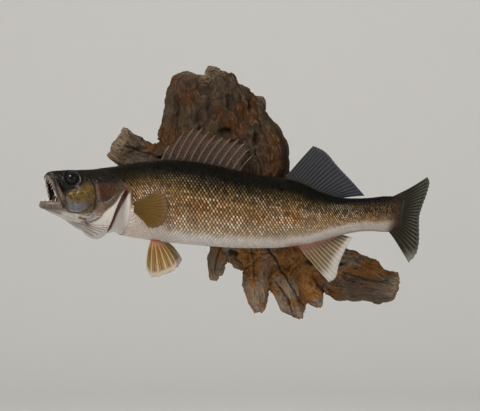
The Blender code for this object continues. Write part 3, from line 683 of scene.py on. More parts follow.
def egg_rings(u, w, z, ru, rw, rz):
    """Rings of an egg shape, as a loft along u."""
    a = (np.arange(1, 16) * math.pi / 16)[:, None]
    t = turns(24)[None]
    shape = [u - ru * np.cos(a) + 0 * t, w + rw * np.sin(a) * np.cos(t), z + rz * np.sin(a) * np.sin(t)]
    return np.stack(shape, -1) * MM


def ball_mesh(name, centre, radius, segments=48, rings=24):
    work = bmesh.new()
    where = Matrix.Translation(centre)
    bmesh.ops.create_uvsphere(work, u_segments=segments, v_segments=rings, radius=radius, matrix=where)
    mesh = bpy.data.meshes.new(name)
    work.to_mesh(mesh)
    work.free()
    return mesh


def body_rings(stations, inset=0.0):
    """Rings of the body, let in for the gill chamber and, under the scales, by the inset."""
    u = np.asarray(stations, float)[:, None] * MM
    turn = turns(LOFT_SIDES)[None]
    extra = -CHAMBER_DEPTH * chamber_share(u, turn) - inset * scaled_share(u - 4.5 * MM, turn)
    return section(u, turn, extra)


def cover_mesh(name, side):
    """A gill cover: a thin curved plate that stands off the body towards its rear edge."""
    down = np.linspace(0, 1, COVER_ROWS)[:, None]
    along = np.linspace(0, 1, COVER_COLUMNS)[None]
    turn = mix(COVER_TOP_TURN, COVER_FOOT_TURN, down) + 0 * along
    u = mix(cover_front(down), cover_rear(down), along) * MM
    lift = cover_flare(down) * MM * along**1.6 - COVER_SINK * (1 - along) ** 3
    outer = section(u, turn, lift)
    inner = section(u, turn, lift - COVER_THICKNESS)
    outer[..., 1] *= side
    inner[..., 1] *= side
    return plate_mesh(name, outer, inner)


def head_mesh():
    """The head with its lips, jaws and cheeks, and with the hollow of the mouth cut out."""
    lofts = [body_rings(np.linspace(-338, -212, 64)), oval_rings(MOUTH_FLOOR)]
    for side in (LEFT, RIGHT):
        for path, hint in ((UPPER_LIP, (1, 0, 0.35)), (LOWER_RAMUS, (0, 0, 1)), (MAXILLA, (0, 1, 0))):
            lofts.append(strap_rings(path, side, hint))
        for u, w, z, ru, rw, rz in (CHEEK, MOUTH_CORNER):
            lofts.append(egg_rings(u, w * side, z, ru, rw, rz))
    head = add_object("head_blend", loft_mesh("head_blend", *lofts))
    modify(head, "REMESH", mode="VOXEL", voxel_size=1.6 * MM)
    modify(head, "SMOOTH", factor=0.5, iterations=5)
    cutters = [add_object("mouth", loft_mesh("mouth", oval_rings(MOUTH_HOLLOW)))]
    for side in (LEFT, RIGHT):
        centre = Vector(EYE * (1, side, 1))
        cutters.append(add_object("socket", ball_mesh("socket", centre, SOCKET_RADIUS)))
    for cutter in cutters:
        modify(head, "BOOLEAN", operation="DIFFERENCE", object=cutter)
    mesh = settle(head)
    for cutter in cutters:
        bpy.data.objects.remove(cutter)
    return mesh


def straight_skin(settings):
    """The whole skin of the straight fish as one closed surface, fine on the head."""
    trunk = loft_mesh("trunk_loft", body_rings(np.arange(SCALED_FRONT, 335, 3), UNDER_SCALES))
    covers = [cover_mesh("cover", side) for side in (LEFT, RIGHT)]
    skin = add_object("skin_blend", joined("skin_blend", head_mesh(), trunk, *covers))
    modify(skin, "REMESH", mode="VOXEL", voxel_size=settings.voxel)
    modify(skin, "SMOOTH", factor=0.5, iterations=4)
    fine = add_object("skin_fine", settle(skin, "skin_fine"))
    points = coordinates(fine.data)
    u = points[:, 0]
    turn = turn_of(points)
    near_rim = ease(np.abs(past_cover(u, turn)), 4.5, 2.5) * ease(turn, COVER_TOP_TURN + 0.1, COVER_TOP_TURN)
    rim = fine.vertex_groups.new(name="rim")
    for share in (0.25, 0.5, 0.75, 1.0):
        rim.add(np.nonzero(near_rim > share - 0.125)[0].tolist(), share, "REPLACE")
    modify(fine, "SMOOTH", factor=0.5, iterations=22, vertex_group="rim")
    body = np.nonzero(u > -198 * MM)[0]
    share = len(body) / len(u)
    total = triangles_of(fine.data)
    group = fine.vertex_groups.new(name="thinned")
    group.add(body.tolist(), 1.0, "REPLACE")
    keep = (total * (1 - share) + settings.body_triangles) / total
    modify(fine, "DECIMATE", ratio=float(keep), vertex_group="thinned")
    return settle(fine, "fish_skin")


# ---- carving and painting the head
# Lines seen from the side as (u, z) in millimetres.
PREOPERCLE_EDGE = ((-264, 36), (-261, 24), (-259.5, 8), (-260, -6), (-263, -17), (-272, -26), (-288, -30))
CHEEK_MARGIN = (
    (-316, 0), (-314, -11), (-307, -19.5), (-297, -22), (-287.5, -21.2), (-277, -17.8), (-267.5, -9)
)
OPERCLE_FOOT = ((-257, -2), (-249, -3.5), (-241.5, -2), (-232, 5), (-223, 13.7), (-214, 20))
INTEROPERCLE_FOOT = ((-306, -31), (-285, -37), (-266, -38), (-254, -31))
MEMBRANE_LINE = (
    (-312, -34), (-290, -40), (-266, -42), (-252, -34), (-243.5, -19.5), (-228.5, -5.5), (-215.5, 12),
    (-203, 21),
)
HEAD_TOP_LINE = (
    (-345, 60), (-333, 36), (-325, 22), (-317, 13), (-307, 12), (-297, 18), (-285, 27), (-270, 33),
    (-252, 35), (-232, 36), (-205, 40),
)
JAW_GROOVE = ((-339, -12.5), (-326, -15.5), (-312, -20), (-298, -26))
LIP_FRONT = ((-335, 41), (-331, 31), (-326.5, 13.6), (-323, -2), (-320, -10))
LIP_FOLD = ((-331, 38), (-326, 16), (-321, 0), (-316.5, -13))
BLADE_RIDGE = ((-325.5, 34), (-320.5, 16), (-317, 0), (-313.5, -12))
SNOUT_FOLD = ((-340, 46), (-333, 43), (-326, 38.5), (-318, 33))
SHOULDER = ((-201, 26), (-203, 12), (-205, -6), (-208, -24), (-216, -44))
NOSTRILS = ((-320, 41.5), (-313.5, 44))
OPERCLE_TOP = (-254, 33)
OPERCLE_RIDGES = ((-214, 22), (-225, 13), (-235, 6), (-245, 1), (-253, 4))
RAY_STARTS = ((-302, -37), (-273, -43))  # first and last branchiostegal ray
RAY_ENDS = ((-262, -69), (-233, -48))
RAY_COUNT = 7
# Carved lines: path, half width, height.
CARVED = (
    (PREOPERCLE_EDGE, 1.5, -1.1),
    ([(u - 3.2, z + 0.5) for u, z in PREOPERCLE_EDGE], 1.9, 0.6),
    (CHEEK_MARGIN, 1.5, -0.9),
    (OPERCLE_FOOT, 1.3, -0.8),
    (INTEROPERCLE_FOOT, 1.3, -0.6),
    (JAW_GROOVE, 1.6, -0.35),
    (LIP_FOLD, 1.2, -0.8),
    (BLADE_RIDGE, 1.7, 0.6),
    (SNOUT_FOLD, 1.6, -0.9),
    (SHOULDER, 3.2, 0.9),
    (((-310, 10), (-303, 13), (-292, 14), (-281, 19), (-274, 28)), 1.5, -0.4),
    (((-309, -2), (-311, -10), (-306, -15)), 1.1, -0.4),
    (((-304, 0), (-306, -9), (-301, -15)), 1.1, -0.35),
    (((-245, 47), (-226, 44), (-212, 38)), 1.5, -0.5),
    (((-272, 40), (-262, 30), (-268, 16)), 1.6, 0.35),
)


def path_distance(u, z, path, smooth=True):
    """Distance to a line of (u, z) points, and the signed side: above 0 to the left of its run."""
    line = resampled(path, 4 * len(path)) if smooth and len(path) > 2 else np.array(path, float)
    at = np.stack([u, z], 1)
    best = np.full(len(u), np.inf)
    side = np.zeros(len(u))
    for a, b in zip(line, line[1:]):
        run = b - a
        t = np.clip((at - a) @ run / (run @ run), 0, 1)
        off = at - a - t[:, None] * run
        distance = np.linalg.norm(off, axis=1)
        nearer = distance < best
        best = np.where(nearer, distance, best)
        side = np.where(nearer, run[0] * off[:, 1] - run[1] * off[:, 0], side)
    return best, best * np.sign(side)


def near_line(u, z, path, reach):
    """1 on a line, falling to 0 at twice its reach."""
    return np.exp(-((path_distance(u, z, path)[0] / reach) ** 2))


def blob(u, z, centre, radii, lean=0.0):
    """A soft oval patch. lean turns it, in degrees."""
    c, s = math.cos(math.radians(lean)), math.sin(math.radians(lean))
    du, dz = u - centre[0], z - centre[1]
    along, across = du * c + dz * s, dz * c - du * s
    return smooth_step(1.6 - np.hypot(along / radii[0], across / radii[1]))


def between(pair, share):
    return tuple(mix(np.array(pair[0], float), np.array(pair[1], float), share))


def outline_at(u, z):
    """Height over the body's middle, half its height and width, and the power of its outline."""
    back, belly = back_line(u / MM) * MM, belly_line(u / MM) * MM
    up = z - (back + belly) / 2
    return up, (back - belly) / 2, half_width(u / MM) * MM, section_power(u, up < 0)


def depth_under(points):
    """How deep points lie under the body's outline."""
    u, w, z = points.T
    up, tall, wide, power = outline_at(u, z)
    out = (np.abs(w) / wide) ** power + (np.abs(up) / tall) ** power
    return (1 / np.maximum(out, 1e-6) ** (1 / power) - 1) * np.hypot(w, up)


def in_mouth(points, margin=1.3):
    """1 inside the hollow of the mouth, in its margin too."""
    u, w, z = points.T / MM
    rows = np.array(MOUTH_HOLLOW, float)
    roof, floor, half = (curve_through(rows[:, (0, k)])(u) for k in (1, 2, 3))
    out = np.hypot(w / (half + margin), (z - (roof + floor) / 2) / ((roof - floor) / 2 + margin))
    return ease(out, 1.04, 0.97) * ease(u, -248, -254)


def turn_of(points):
    """Each point's turn round the body, from -90 degrees at the belly to 90 at the back, in radians."""
    u, w, z = points.T
    up, tall, wide, power = outline_at(u, z)
    height = np.sign(up) * (np.abs(up) / tall) ** (power / 2)
    return np.arctan2(height, (np.abs(w) / wide) ** (power / 2))


def rise_of(points):
    """-1 along the belly, 0 at mid height and 1 along the back."""
    up, tall = outline_at(points[:, 0], points[:, 2])[:2]
    return np.clip(up / tall, -1, 1)


def carve_head(mesh):
    """Grooves, ridges and plates of the head, pushed in or out along the surface."""
    points, normals = coordinates(mesh), normals_of(mesh)
    head = np.nonzero(points[:, 0] < -180 * MM)[0]
    p, n = points[head], normals[head]
    u, w, z = p.T / MM
    sideways = ease(np.abs(n[:, 1]) * np.sign(n[:, 1] * w), 0.15, 0.5)
    outside = ease(depth_under(p) / MM, 3.4, 2.2) * (1 - in_mouth(p))
    line, spot = partial(near_line, u, z), partial(blob, u, z)
    height = np.zeros(len(head))
    for path, reach, rise in CARVED:
        height += rise * line(path, reach)
    for end in OPERCLE_RIDGES:
        height += 0.32 * line((OPERCLE_TOP, between((OPERCLE_TOP, end), 0.5), end), 1.5)
    ring = np.hypot(u - EYE[0] / MM, z - EYE[2] / MM)
    height += 0.9 * np.exp(-(((ring - 15.0) / 1.7) ** 2)) - 0.45 * np.exp(-(((ring - 19.5) / 1.6) ** 2))
    for hole_u, hole_z in NOSTRILS:
        pit = np.hypot(u - hole_u, z - hole_z)
        height += -2.4 * np.exp(-((pit / 1.5) ** 2)) + 0.6 * np.exp(-(((pit - 2.6) / 0.8) ** 2))
    cheek = spot((-286, 8), (26, 22)) + spot((-238, 16), (20, 18))
    height += 0.16 * cheek * lattice_noise(p / (2.3 * MM), 3)
    height *= sideways
    downward = ease(-n[:, 2] + 0.4 * np.abs(n[:, 1]), 0.2, 0.6)
    for k in range(RAY_COUNT):
        share = k / (RAY_COUNT - 1)
        ray = (between(RAY_STARTS, share), between(RAY_ENDS, share))
        bowed = (ray[0], (mix(ray[0][0], ray[1][0], 0.5), mix(ray[0][1], ray[1][1], 0.5) - 2.0), ray[1])
        height += downward * (1.15 * line(bowed, 1.5) - 0.15)
    upward = ease(n[:, 2], 0.3, 0.8) * ease(u, -215, -235)
    height += upward * 0.7 * np.exp(-(((np.abs(w) - 9) / 2.6) ** 2))
    height -= upward * 0.6 * np.exp(-((w / 3.5) ** 2))
    height += upward * 0.22 * lattice_noise(p / (4 * MM), 5)
    height += 0.07 * lattice_noise(p / (1.6 * MM), 9)
    points[head] += n * (height * outside * MM)[:, None]
    set_coordinates(mesh, points)


def paint_fish(mesh):
    """Keeps, for each point, how much of each colour of the head it has."""
    p, n = coordinates(mesh), normals_of(mesh)
    u, z = p[:, 0] / MM, p[:, 2] / MM
    store(mesh, body=p, rise=rise_of(p))
    turn = turn_of(p)
    head = ease(u, -192, -200) * (1 - scaled_share(p[:, 0], turn))
    past = past_cover(p[:, 0], turn)
    depth = depth_under(p) / MM
    outside = ease(depth, 4.0, 2.8)
    mouth = in_mouth(p)
    top = path_distance(u, z, HEAD_TOP_LINE)[1]
    behind = -path_distance(u, z, MEMBRANE_LINE)[1]
    below = ease(-n[:, 2], 0.1, 0.6) * ease(z, -14, -24)
    line, spot = partial(near_line, u, z), partial(blob, u, z)
    patches = {
        "steel": spot((-294, -11), (17, 9)) + 0.8 * line(OPERCLE_FOOT, 4.5) * ease(z, 8, -6),
        "gold": 0.42 * spot((-284, 18), (20, 10))
        + spot((-292, 6), (13, 8))
        + 0.8 * line(((-284, -26), (-272, -20), (-264, -10), (-262, 0)), 3.6)
        + 0.5 * spot((-272, 10), (12, 14)),
        "rust": spot((-241, 20), (14, 11)) + spot((-245, 5), (11, 7)),
        "pink": line(((-316, -27), (-288, -33), (-266, -34), (-254, -22), (-250, -12)), 5.5)
        + 0.8 * line(((-258, 32), (-256, 16), (-255, 2)), 3.0)
        + 0.6 * line(((-318, 12), (-316, -6), (-318, -14)), 3.5),
        "white": ease(behind, -1.5, 3.5) * ease(past, 2.0, -1.0)
        + below * ease(u, -196, -204)
        + ease(past, 9.0, 14.0) * ease(z, 22, 8),
        "lip": line(LIP_FRONT, 1.5)
        + 0.9 * line(BLADE_RIDGE, 1.3)
        + 0.7 * line(((-316.5, 16), (-313.5, 0), (-311, -12)), 1.1)
        + spot((-321, 20), (2.0, 5))
        + 0.9 * line(((-347, -4), (-338, -4.5), (-325, -6), (-318, -9)), 2.6)
        + 0.8 * line(((-345, -12), (-336, -19), (-320, -24)), 3.0),
        # dark is partly the head's own colour, its dark top, eye surround and upper gill cover, and partly
        # painted shade along its carved grooves and folds
        "dark": 0.96 * ease(top, -3.5, 5.0)
        + 0.7 * line(CHEEK_MARGIN, 1.9)
        + 0.8 * line(PREOPERCLE_EDGE, 1.5) * ease(z, -22, -12)
        + 0.55 * line(OPERCLE_FOOT, 1.1)
        + 0.9 * line(LIP_FOLD, 2.0)
        + 0.25 * line(JAW_GROOVE, 1.8)
        + 0.15 * line(INTEROPERCLE_FOOT, 1.2)
        + 0.9 * np.exp(-(((np.hypot(u - EYE[0] / MM, z - EYE[2] / MM) - 14.5) / 4.5) ** 2))
        + 0.8 * line(((-319, 22), (-313.5, 4), (-311, -8)), 1.6)
        + 0.8 * ease(z, 20, 33) * spot((-240, 34), (26, 14)),
    }
    sides = ease(np.abs(n[:, 1]), 0.05, 0.3)
    for name, share in patches.items():
        share = np.clip(share, 0, 1) * head
        if name != "white":
            share = share * outside
        if name not in ("white", "dark"):
            share = share * sides
        if name != "dark":
            share = share * (1 - mouth)
        store(mesh, **{name: share})
    inner = ease(depth, 1.6, 3.2) * ease(past, 13.5, 9.0) * ease(u, -262, -250)
    inner *= ease(turn, math.radians(31), math.radians(25))
    store(mesh, red=np.clip(mouth + inner, 0, 1), naked=np.clip(head, 0, 1))
    # painted shade: grey in the furrows between the branchiostegal rays of the white gill membrane
    furrow_shades = np.zeros(len(u))
    for k in range(RAY_COUNT):
        share = (k + 0.5) / (RAY_COUNT - 1)
        furrow_shades += line((between(RAY_STARTS, share), between(RAY_ENDS, share)), 1.0)
    store(mesh, furrow=furrow_shades * head * ease(-n[:, 2] + 0.4 * np.abs(n[:, 1]), 0.2, 0.6))


def bend(mesh):
    """Sets a straight mesh where the bent fish has it."""
    set_coordinates(mesh, place(coordinates(mesh)))


# ---- markings shared by skin and scales
def markings_group(skin):
    """Colours from back to belly, with dark flecks on the flank."""
    inputs, outputs = {"Rise": "Float", "Body": "Vector"}, {"Colour": "Color", "Under": "Float"}
    tree, nodes, given, out = new_tree("fish_markings", "ShaderNodeTree", inputs, outputs)
    place_u = nodes.axes(given["Body"])[0]
    front = nodes.span(place_u, -0.06, -0.19)
    tail = nodes.span(place_u, 0.10, 0.27)
    breast = nodes.span(place_u, -0.115, -0.190)
    rise = given["Rise"] + (nodes.noise(given["Body"], 32.0, 3.0, 0.6) - 0.5) * 0.22
    upper = rise - front * 0.24 + tail * 0.26
    lower = rise - tail * 0.24 - breast * 0.5
    colour = nodes.blend(nodes.span(lower, -0.80, -0.62), skin.belly, skin.lower_flank)
    blush = breast * nodes.span(nodes.noise(given["Body"], 60.0, 2.0), 0.42, 0.66, 0.1, 0.7)
    colour = nodes.tint(blush, colour, (1.0, 0.8, 0.7))
    colour = nodes.blend(nodes.span(rise - breast * 0.18, -0.5, -0.1), colour, skin.flank)
    colour = nodes.blend(nodes.span(upper, 0.06, 0.40), colour, skin.upper_flank)
    colour = nodes.blend(nodes.span(upper, 0.36, 0.70), colour, skin.back)
    fleck = nodes.span(nodes.noise(nodes.stretch(given["Body"], (0.7, 1, 1)), 95.0, 2.0, 0.6), 0.42, 0.66)
    colour = nodes.tint(fleck * nodes.span(rise, -0.30, 0.1) * 0.5, colour, (0.30, 0.26, 0.18))
    vent = nodes.span(abs(place_u - 0.110), 0.022, 0.006, 0.0, 0.6) * nodes.span(given["Rise"], -0.84, -0.96)
    colour = nodes.blend(vent, colour, (0.50, 0.13, 0.10))
    dusky = nodes.span(place_u, 0.12, 0.28) * 0.8
    colour = nodes.tint(dusky, colour, (0.5, 0.48, 0.44))
    reach = abs(rise) ** 2.0 * 0.014 + place_u
    colour = nodes.blend(nodes.span(reach, 0.300, 0.326, 0.0, 0.85), colour, (0.046, 0.021, 0.009))
    colour = nodes.blend(nodes.span(reach, 0.322, 0.334), colour, (0.014, 0.012, 0.007))
    nodes.give(out["Colour"], colour)
    nodes.give(out["Under"], lower)
    return tree


def add_markings(nodes, skin):
    tree = tree_named("fish_markings", markings_group, skin)
    found = nodes.group(tree, {"Rise": nodes.attribute("rise"), "Body": nodes.vector("body")})
    return found["Colour"], found["Under"]


def skin_material(skin):
    made, nodes = new_material("fish_skin")
    colour, under = add_markings(nodes, skin)
    body = nodes.vector("body")
    naked = nodes.attribute("naked")
    # painted shade: between the scales the skin is darkened, as if shaded by them, less so on the belly
    gap = nodes.maths("SUBTRACT", 0.75, naked, clamp=True)
    gap = gap * nodes.span(under, -0.8, -0.4, 0.08, 1.0)
    colour = nodes.tint(gap, colour, (0.3, 0.2, 0.12))
    base = nodes.blend(nodes.noise(body, 120.0, 3.0), (0.030, 0.019, 0.010), (0.115, 0.075, 0.043))
    face = naked * nodes.span(nodes.attribute("rise"), 0.75, 0.55)
    colour = nodes.blend(face * 0.85, colour, base)
    ragged = (nodes.noise(body, 210.0, 4.0, 0.65) - 0.5) * 0.9
    for name in ("steel", "gold", "rust", "pink", "white", "lip", "dark"):
        share = nodes.attribute(name)
        edge = share * (1.0 - share)
        share = nodes.maths("ADD", share, edge * (ragged * 3.0), clamp=True)
        colour = nodes.blend(share, colour, getattr(skin, name))
    blotch = nodes.span(nodes.noise(body, 115.0, 3.0, 0.6), 0.4, 0.58) * nodes.attribute("gold")
    colour = nodes.tint(blotch * 0.75, colour, (0.36, 0.31, 0.24))
    streaks = nodes.noise(nodes.stretch(body, (260, 260, 60)), 1.0, 3.0, 0.6)
    veins = nodes.span(streaks, 0.55, 0.72) * (naked * 0.35)
    colour = nodes.tint(veins, colour, (0.45, 0.3, 0.22))
    pale = nodes.span(nodes.noise(body, 330.0, 2.0), 0.60, 0.74)
    colour = nodes.blend(pale * (naked * 0.09), colour, (0.6, 0.55, 0.46))
    mottle = nodes.span(nodes.noise(body, 300.0, 4.0, 0.65, 0.2), 0.44, 0.66)
    mottle = mottle * nodes.maths("SUBTRACT", naked, nodes.attribute("white"), clamp=True)
    colour = nodes.tint(mottle * 0.75, colour, (0.34, 0.27, 0.2))
    # painted shade in the furrows between the branchiostegal rays
    furrow = nodes.attribute("furrow") * (nodes.attribute("white") * 0.8)
    colour = nodes.blend(furrow, colour, (0.20, 0.165, 0.15))
    inside = nodes.tint(nodes.noise(body, 160.0, 3.0), skin.red, (0.3, 0.3, 0.35))
    colour = nodes.blend(nodes.attribute("red"), colour, inside)
    nodes.shade(
        Base_Color=colour,
        Roughness=nodes.span(nodes.noise(body, 400.0, 3.0), 0.3, 0.7, 0.34, 0.52),
        Specular_IOR_Level=0.2,
        Coat_Weight=0.09,
        Coat_Roughness=0.15,
    )
    pores = nodes.noise(body, 900.0, 3.0, 0.6)
    pits = nodes.out("ShaderNodeTexVoronoi", {"Vector": body, "Scale": 480.0})
    height = pores * 0.6 + pits * 0.7
    nodes.shade(Normal=nodes.bump(height, 0.45, 0.4 * MM))
    return made


# ---- geometry node trees
def named(nodes, name, kind="FLOAT_VECTOR"):
    return nodes.out("GeometryNodeInputNamedAttribute", {"Name": name}, data_type=kind)


def run_tree(piece, tree, **values):
    """Gives the piece the tree's result. Inputs are named with _ for spaces."""
    modifier = piece.modifiers.new(tree.name, "NODES")
    modifier.node_group = tree
    for item in tree.interface.items_tree:
        if item.item_type == "SOCKET" and item.in_out == "INPUT" and item.name != "Geometry":
            key = item.name.replace(" ", "_").lower()
            modifier[item.identifier] = values[key]
    mesh = settle(piece, piece.name)
    drop_empty_slots(mesh)
    return mesh


def drop_empty_slots(mesh):
    """Leaves out the material slots that hold nothing."""
    filled = [k for k, made in enumerate(mesh.materials) if made]
    if len(filled) == len(mesh.materials):
        return
    index = np.zeros(len(mesh.polygons), np.int32)
    mesh.polygons.foreach_get("material_index", index)
    kept = [mesh.materials[k] for k in filled]
    moved = np.zeros(len(mesh.materials), np.int32)
    moved[filled] = np.arange(len(filled))
    mesh.materials.clear()
    for made in kept:
        mesh.materials.append(made)
    mesh.polygons.foreach_set("material_index", moved[index])


def lying_tree():
    """Sets a template on each point, along its lie and standing on the skin, as solid mesh."""
    inputs = {
        "Geometry": "Geometry",
        "Template": "Object",
        "Lift": "Float",
        "Patch": "Float",
        "Material": "Material",
    }
    tree, nodes, given, out = new_tree("lying_pieces", "GeometryNodeTree", inputs, {"Geometry": "Geometry"})
    shape = nodes.out("GeometryNodeObjectInfo", {"Object": given["Template"]}, "Geometry")
    axes = {0: named(nodes, "outward"), 1: named(nodes, "lie")}
    turned = nodes.out("FunctionNodeAxesToRotation", axes, primary_axis="Z", secondary_axis="X")
    lifted = nodes.out("ShaderNodeCombineXYZ", {0: 1.0, 1: 1.0, 2: given["Lift"]})
    size = nodes.out("ShaderNodeVectorMath", {0: named(nodes, "size"), 1: lifted}, operation="MULTIPLY")
    placed = nodes.out(
        "GeometryNodeInstanceOnPoints",
        {"Points": given["Geometry"], "Instance": shape, "Rotation": turned, "Scale": size},
    )
    solid = nodes.out("GeometryNodeRealizeInstances", {0: placed})
    patch = {0: named(nodes, "local"), "Scale": given["Patch"]}
    patch = nodes.out("ShaderNodeVectorMath", patch, operation="SCALE")
    spot = nodes.out("ShaderNodeVectorMath", {0: named(nodes, "root_uv"), 1: patch}, operation="ADD")
    mapped = nodes.out(
        "GeometryNodeStoreNamedAttribute",
        {"Geometry": solid, "Name": "OFBake", "Value": spot},
        data_type="FLOAT2",
        domain="CORNER",
    )
    dressed = nodes.out("GeometryNodeSetMaterial", {"Geometry": mapped, "Material": given["Material"]})
    nodes.give(out[0], dressed)
    return tree


def fin_tree():
    """Sweeps the rays along their lines and joins them to the membrane."""
    inputs = {"Geometry": "Geometry", "Ray Lines": "Object", "Ray Sides": "Int"}
    inputs |= {"Ray Material": "Material", "Membrane Material": "Material"}
    tree, nodes, given, out = new_tree("fin_rays", "GeometryNodeTree", inputs, {"Geometry": "Geometry"})
    lines = nodes.out("GeometryNodeObjectInfo", {"Object": given["Ray Lines"]}, "Geometry")
    curves = nodes.out("GeometryNodeMeshToCurve", {0: lines})
    thick = {"Curve": curves, "Radius": named(nodes, "radius", "FLOAT")}
    curves = nodes.out("GeometryNodeSetCurveRadius", thick)
    ring = nodes.out("GeometryNodeCurvePrimitiveCircle", {"Resolution": given["Ray Sides"], "Radius": 1.0})
    sweep = nodes.add("GeometryNodeCurveToMesh", {"Curve": curves, "Profile Curve": ring, "Fill Caps": True})
    if "Scale" in sweep.inputs:
        nodes.give(sweep.inputs["Scale"], named(nodes, "radius", "FLOAT"))
    smooth = nodes.out("GeometryNodeSetShadeSmooth", {0: sweep.outputs[0]})
    rays = nodes.out("GeometryNodeSetMaterial", {"Geometry": smooth, "Material": given["Ray Material"]})
    web = {"Geometry": given["Geometry"], "Material": given["Membrane Material"]}
    web = nodes.out("GeometryNodeSetMaterial", web)
    join = nodes.add("GeometryNodeJoinGeometry")
    nodes.give(join.inputs[0], rays)
    nodes.give(join.inputs[0], web)
    solid = nodes.out("GeometryNodeRealizeInstances", {0: join.outputs[0]})
    nodes.give(out[0], solid)
    return tree


# ---- scales
SCALE_RIM = 12  # points round a scale
BAKE_PATCH = 0.003  # size of a scale's spot on the bake map
scale_size = curve_through(
    [(-245, 0.62), (-205, 0.8), (-150, 1.0), (80, 1.0), (180, 0.8), (270, 0.6), (310, 0.5), (330, 0.42)]
)


def scale_template(settings):
    """One scale, one unit long and wide: its root at the origin, its free edge at X = 1."""
    a = turns(SCALE_RIM)
    narrow = np.where(np.cos(a) < 0, 0.82, 1.0)
    rim = np.stack([0.5 + 0.5 * np.cos(a), 0.5 * np.sin(a) * narrow], 1)
    ring = 0.5 + (rim[::2] - 0.5) * 0.58
    ring[:, 1] = rim[::2, 1] * 0.58
    flat = np.concatenate([rim, ring, [[0.5, 0]]])
    crown = np.concatenate([np.zeros(SCALE_RIM), np.full(len(ring), 0.8), [1.0]])
    height = -0.45 * settings.lift + 1.3 * settings.lift * flat[:, 0] ** 1.3 + crown * settings.thickness
    half = SCALE_RIM // 2
    faces = [tuple(range(SCALE_RIM))[::-1]]
    for k in range(half):
        here, after = SCALE_RIM + k, SCALE_RIM + (k + 1) % half
        last = (2 * k + 2) % SCALE_RIM
        faces += [(2 * k, 2 * k + 1, here), (2 * k + 1, last, after), (2 * k + 1, after, here)]
        faces.append((here, after, SCALE_RIM + half))
    mesh = make_mesh("scale_template", np.column_stack([flat, height]), faces)
    mesh.shade_smooth()
    store(mesh, local=np.column_stack([flat, 0 * height]))
    template = add_object("scale_template", mesh)
    template.hide_render = True
    return template


def scale_roots(settings, side):
    """Where the scales of one flank are rooted: u, turn, row and arc from the middle of the side."""
    sweep = np.linspace(0, math.pi / 2, 60)
    found = []
    u, column = SCALED_FRONT * MM, 0
    while u < SCALES_END:
        size = float(scale_size(u / MM))
        for half, up in ((sweep, 1), (-sweep, -1)):
            line = section(np.full(60, u), half, -UNDER_SCALES)[:, 1:]
            arc = reach_along(line)
            first = 0 if up > 0 else 1
            for row in range(first, int(arc[-1] / (settings.row * size)) + 1):
                if (row + column) % 2:
                    continue
                at = row * settings.row * size
                if at > arc[-1] - 0.3 * settings.row * size:
                    continue
                found.append((u, np.interp(at, arc, half), up * row, up * at, size))
        u += settings.pitch * size / 2
        column += 1
    u, turn, row, arc, size = np.array(found).T
    share = scaled_share(u, turn)
    keep = share > 0.3
    u, turn, row, arc, size, share = (x[keep] for x in (u, turn, row, arc, size, share))
    if side == LEFT:
        turn = math.pi - turn
    breast = ease(u, -110 * MM, -180 * MM) * ease(np.sin(turn), -0.35, -0.8)
    return u, turn, row, arc, size * mix(0.45, 1.0, share) * (1 - 0.15 * breast)


def scale_points(settings, side):
    """A mesh of root points that carry each scale's lie, size, markings and bake spot."""
    u, turn, row, arc, size = scale_roots(settings, side)
    inset = -UNDER_SCALES
    straight = section(u, turn, inset)
    root = place(straight)
    tailward = place(section(u + 1 * MM, turn, inset)) - place(section(u - 1 * MM, turn, inset))
    around = place(section(u, turn + 0.02, inset)) - place(section(u, turn - 0.02, inset))
    outward = unit(np.cross(around, tailward))
    middle = place(
        straight * (1, 0, 0)
        + np.array((0, 0, 1)) * ((back_line(u / MM) + belly_line(u / MM)) / 2 * MM)[:, None],
    )
    outward *= np.sign(np.sum(outward * (root - middle), axis=1))[:, None]
    lie = unit(tailward)
    chance = np.random.default_rng(settings.seed + side).uniform(-1, 1, (len(u), 4))
    lie = lie + np.cross(outward, lie) * chance[:, :1] * 0.05
    mesh = make_mesh("scale_roots", root, [])
    long = 1.62 * settings.pitch * size * (1 + 0.05 * chance[:, 1])
    wide = 2.06 * settings.row * size * (1 + 0.04 * chance[:, 2])
    store(mesh, lie=lie, outward=outward)
    stand = mix(0.55, 1.0, np.clip(size, 0, 1)) * (1 + 0.12 * chance[:, 3])
    stand *= mix(1.0, 0.55, ease(np.sin(turn), -0.55, -0.85))  # flatter on the belly
    store(
        mesh,
        size=np.column_stack([long, wide, stand]),
        rise=rise_of(straight + np.array((3 * MM, 0, 0))),
        body=straight,
        shade=chance[:, 0] * 0.5 + 0.5,
        line_row=np.where(row == 3, 1.0, 0.0),
    )
    spot = np.column_stack([(u + 0.245) / 0.58, (arc + 0.105) / 0.21, 0 * u])
    store(mesh, root_uv=0.01 + 0.975 * np.clip(spot, 0, 1) * (1, 1, 0))
    return mesh


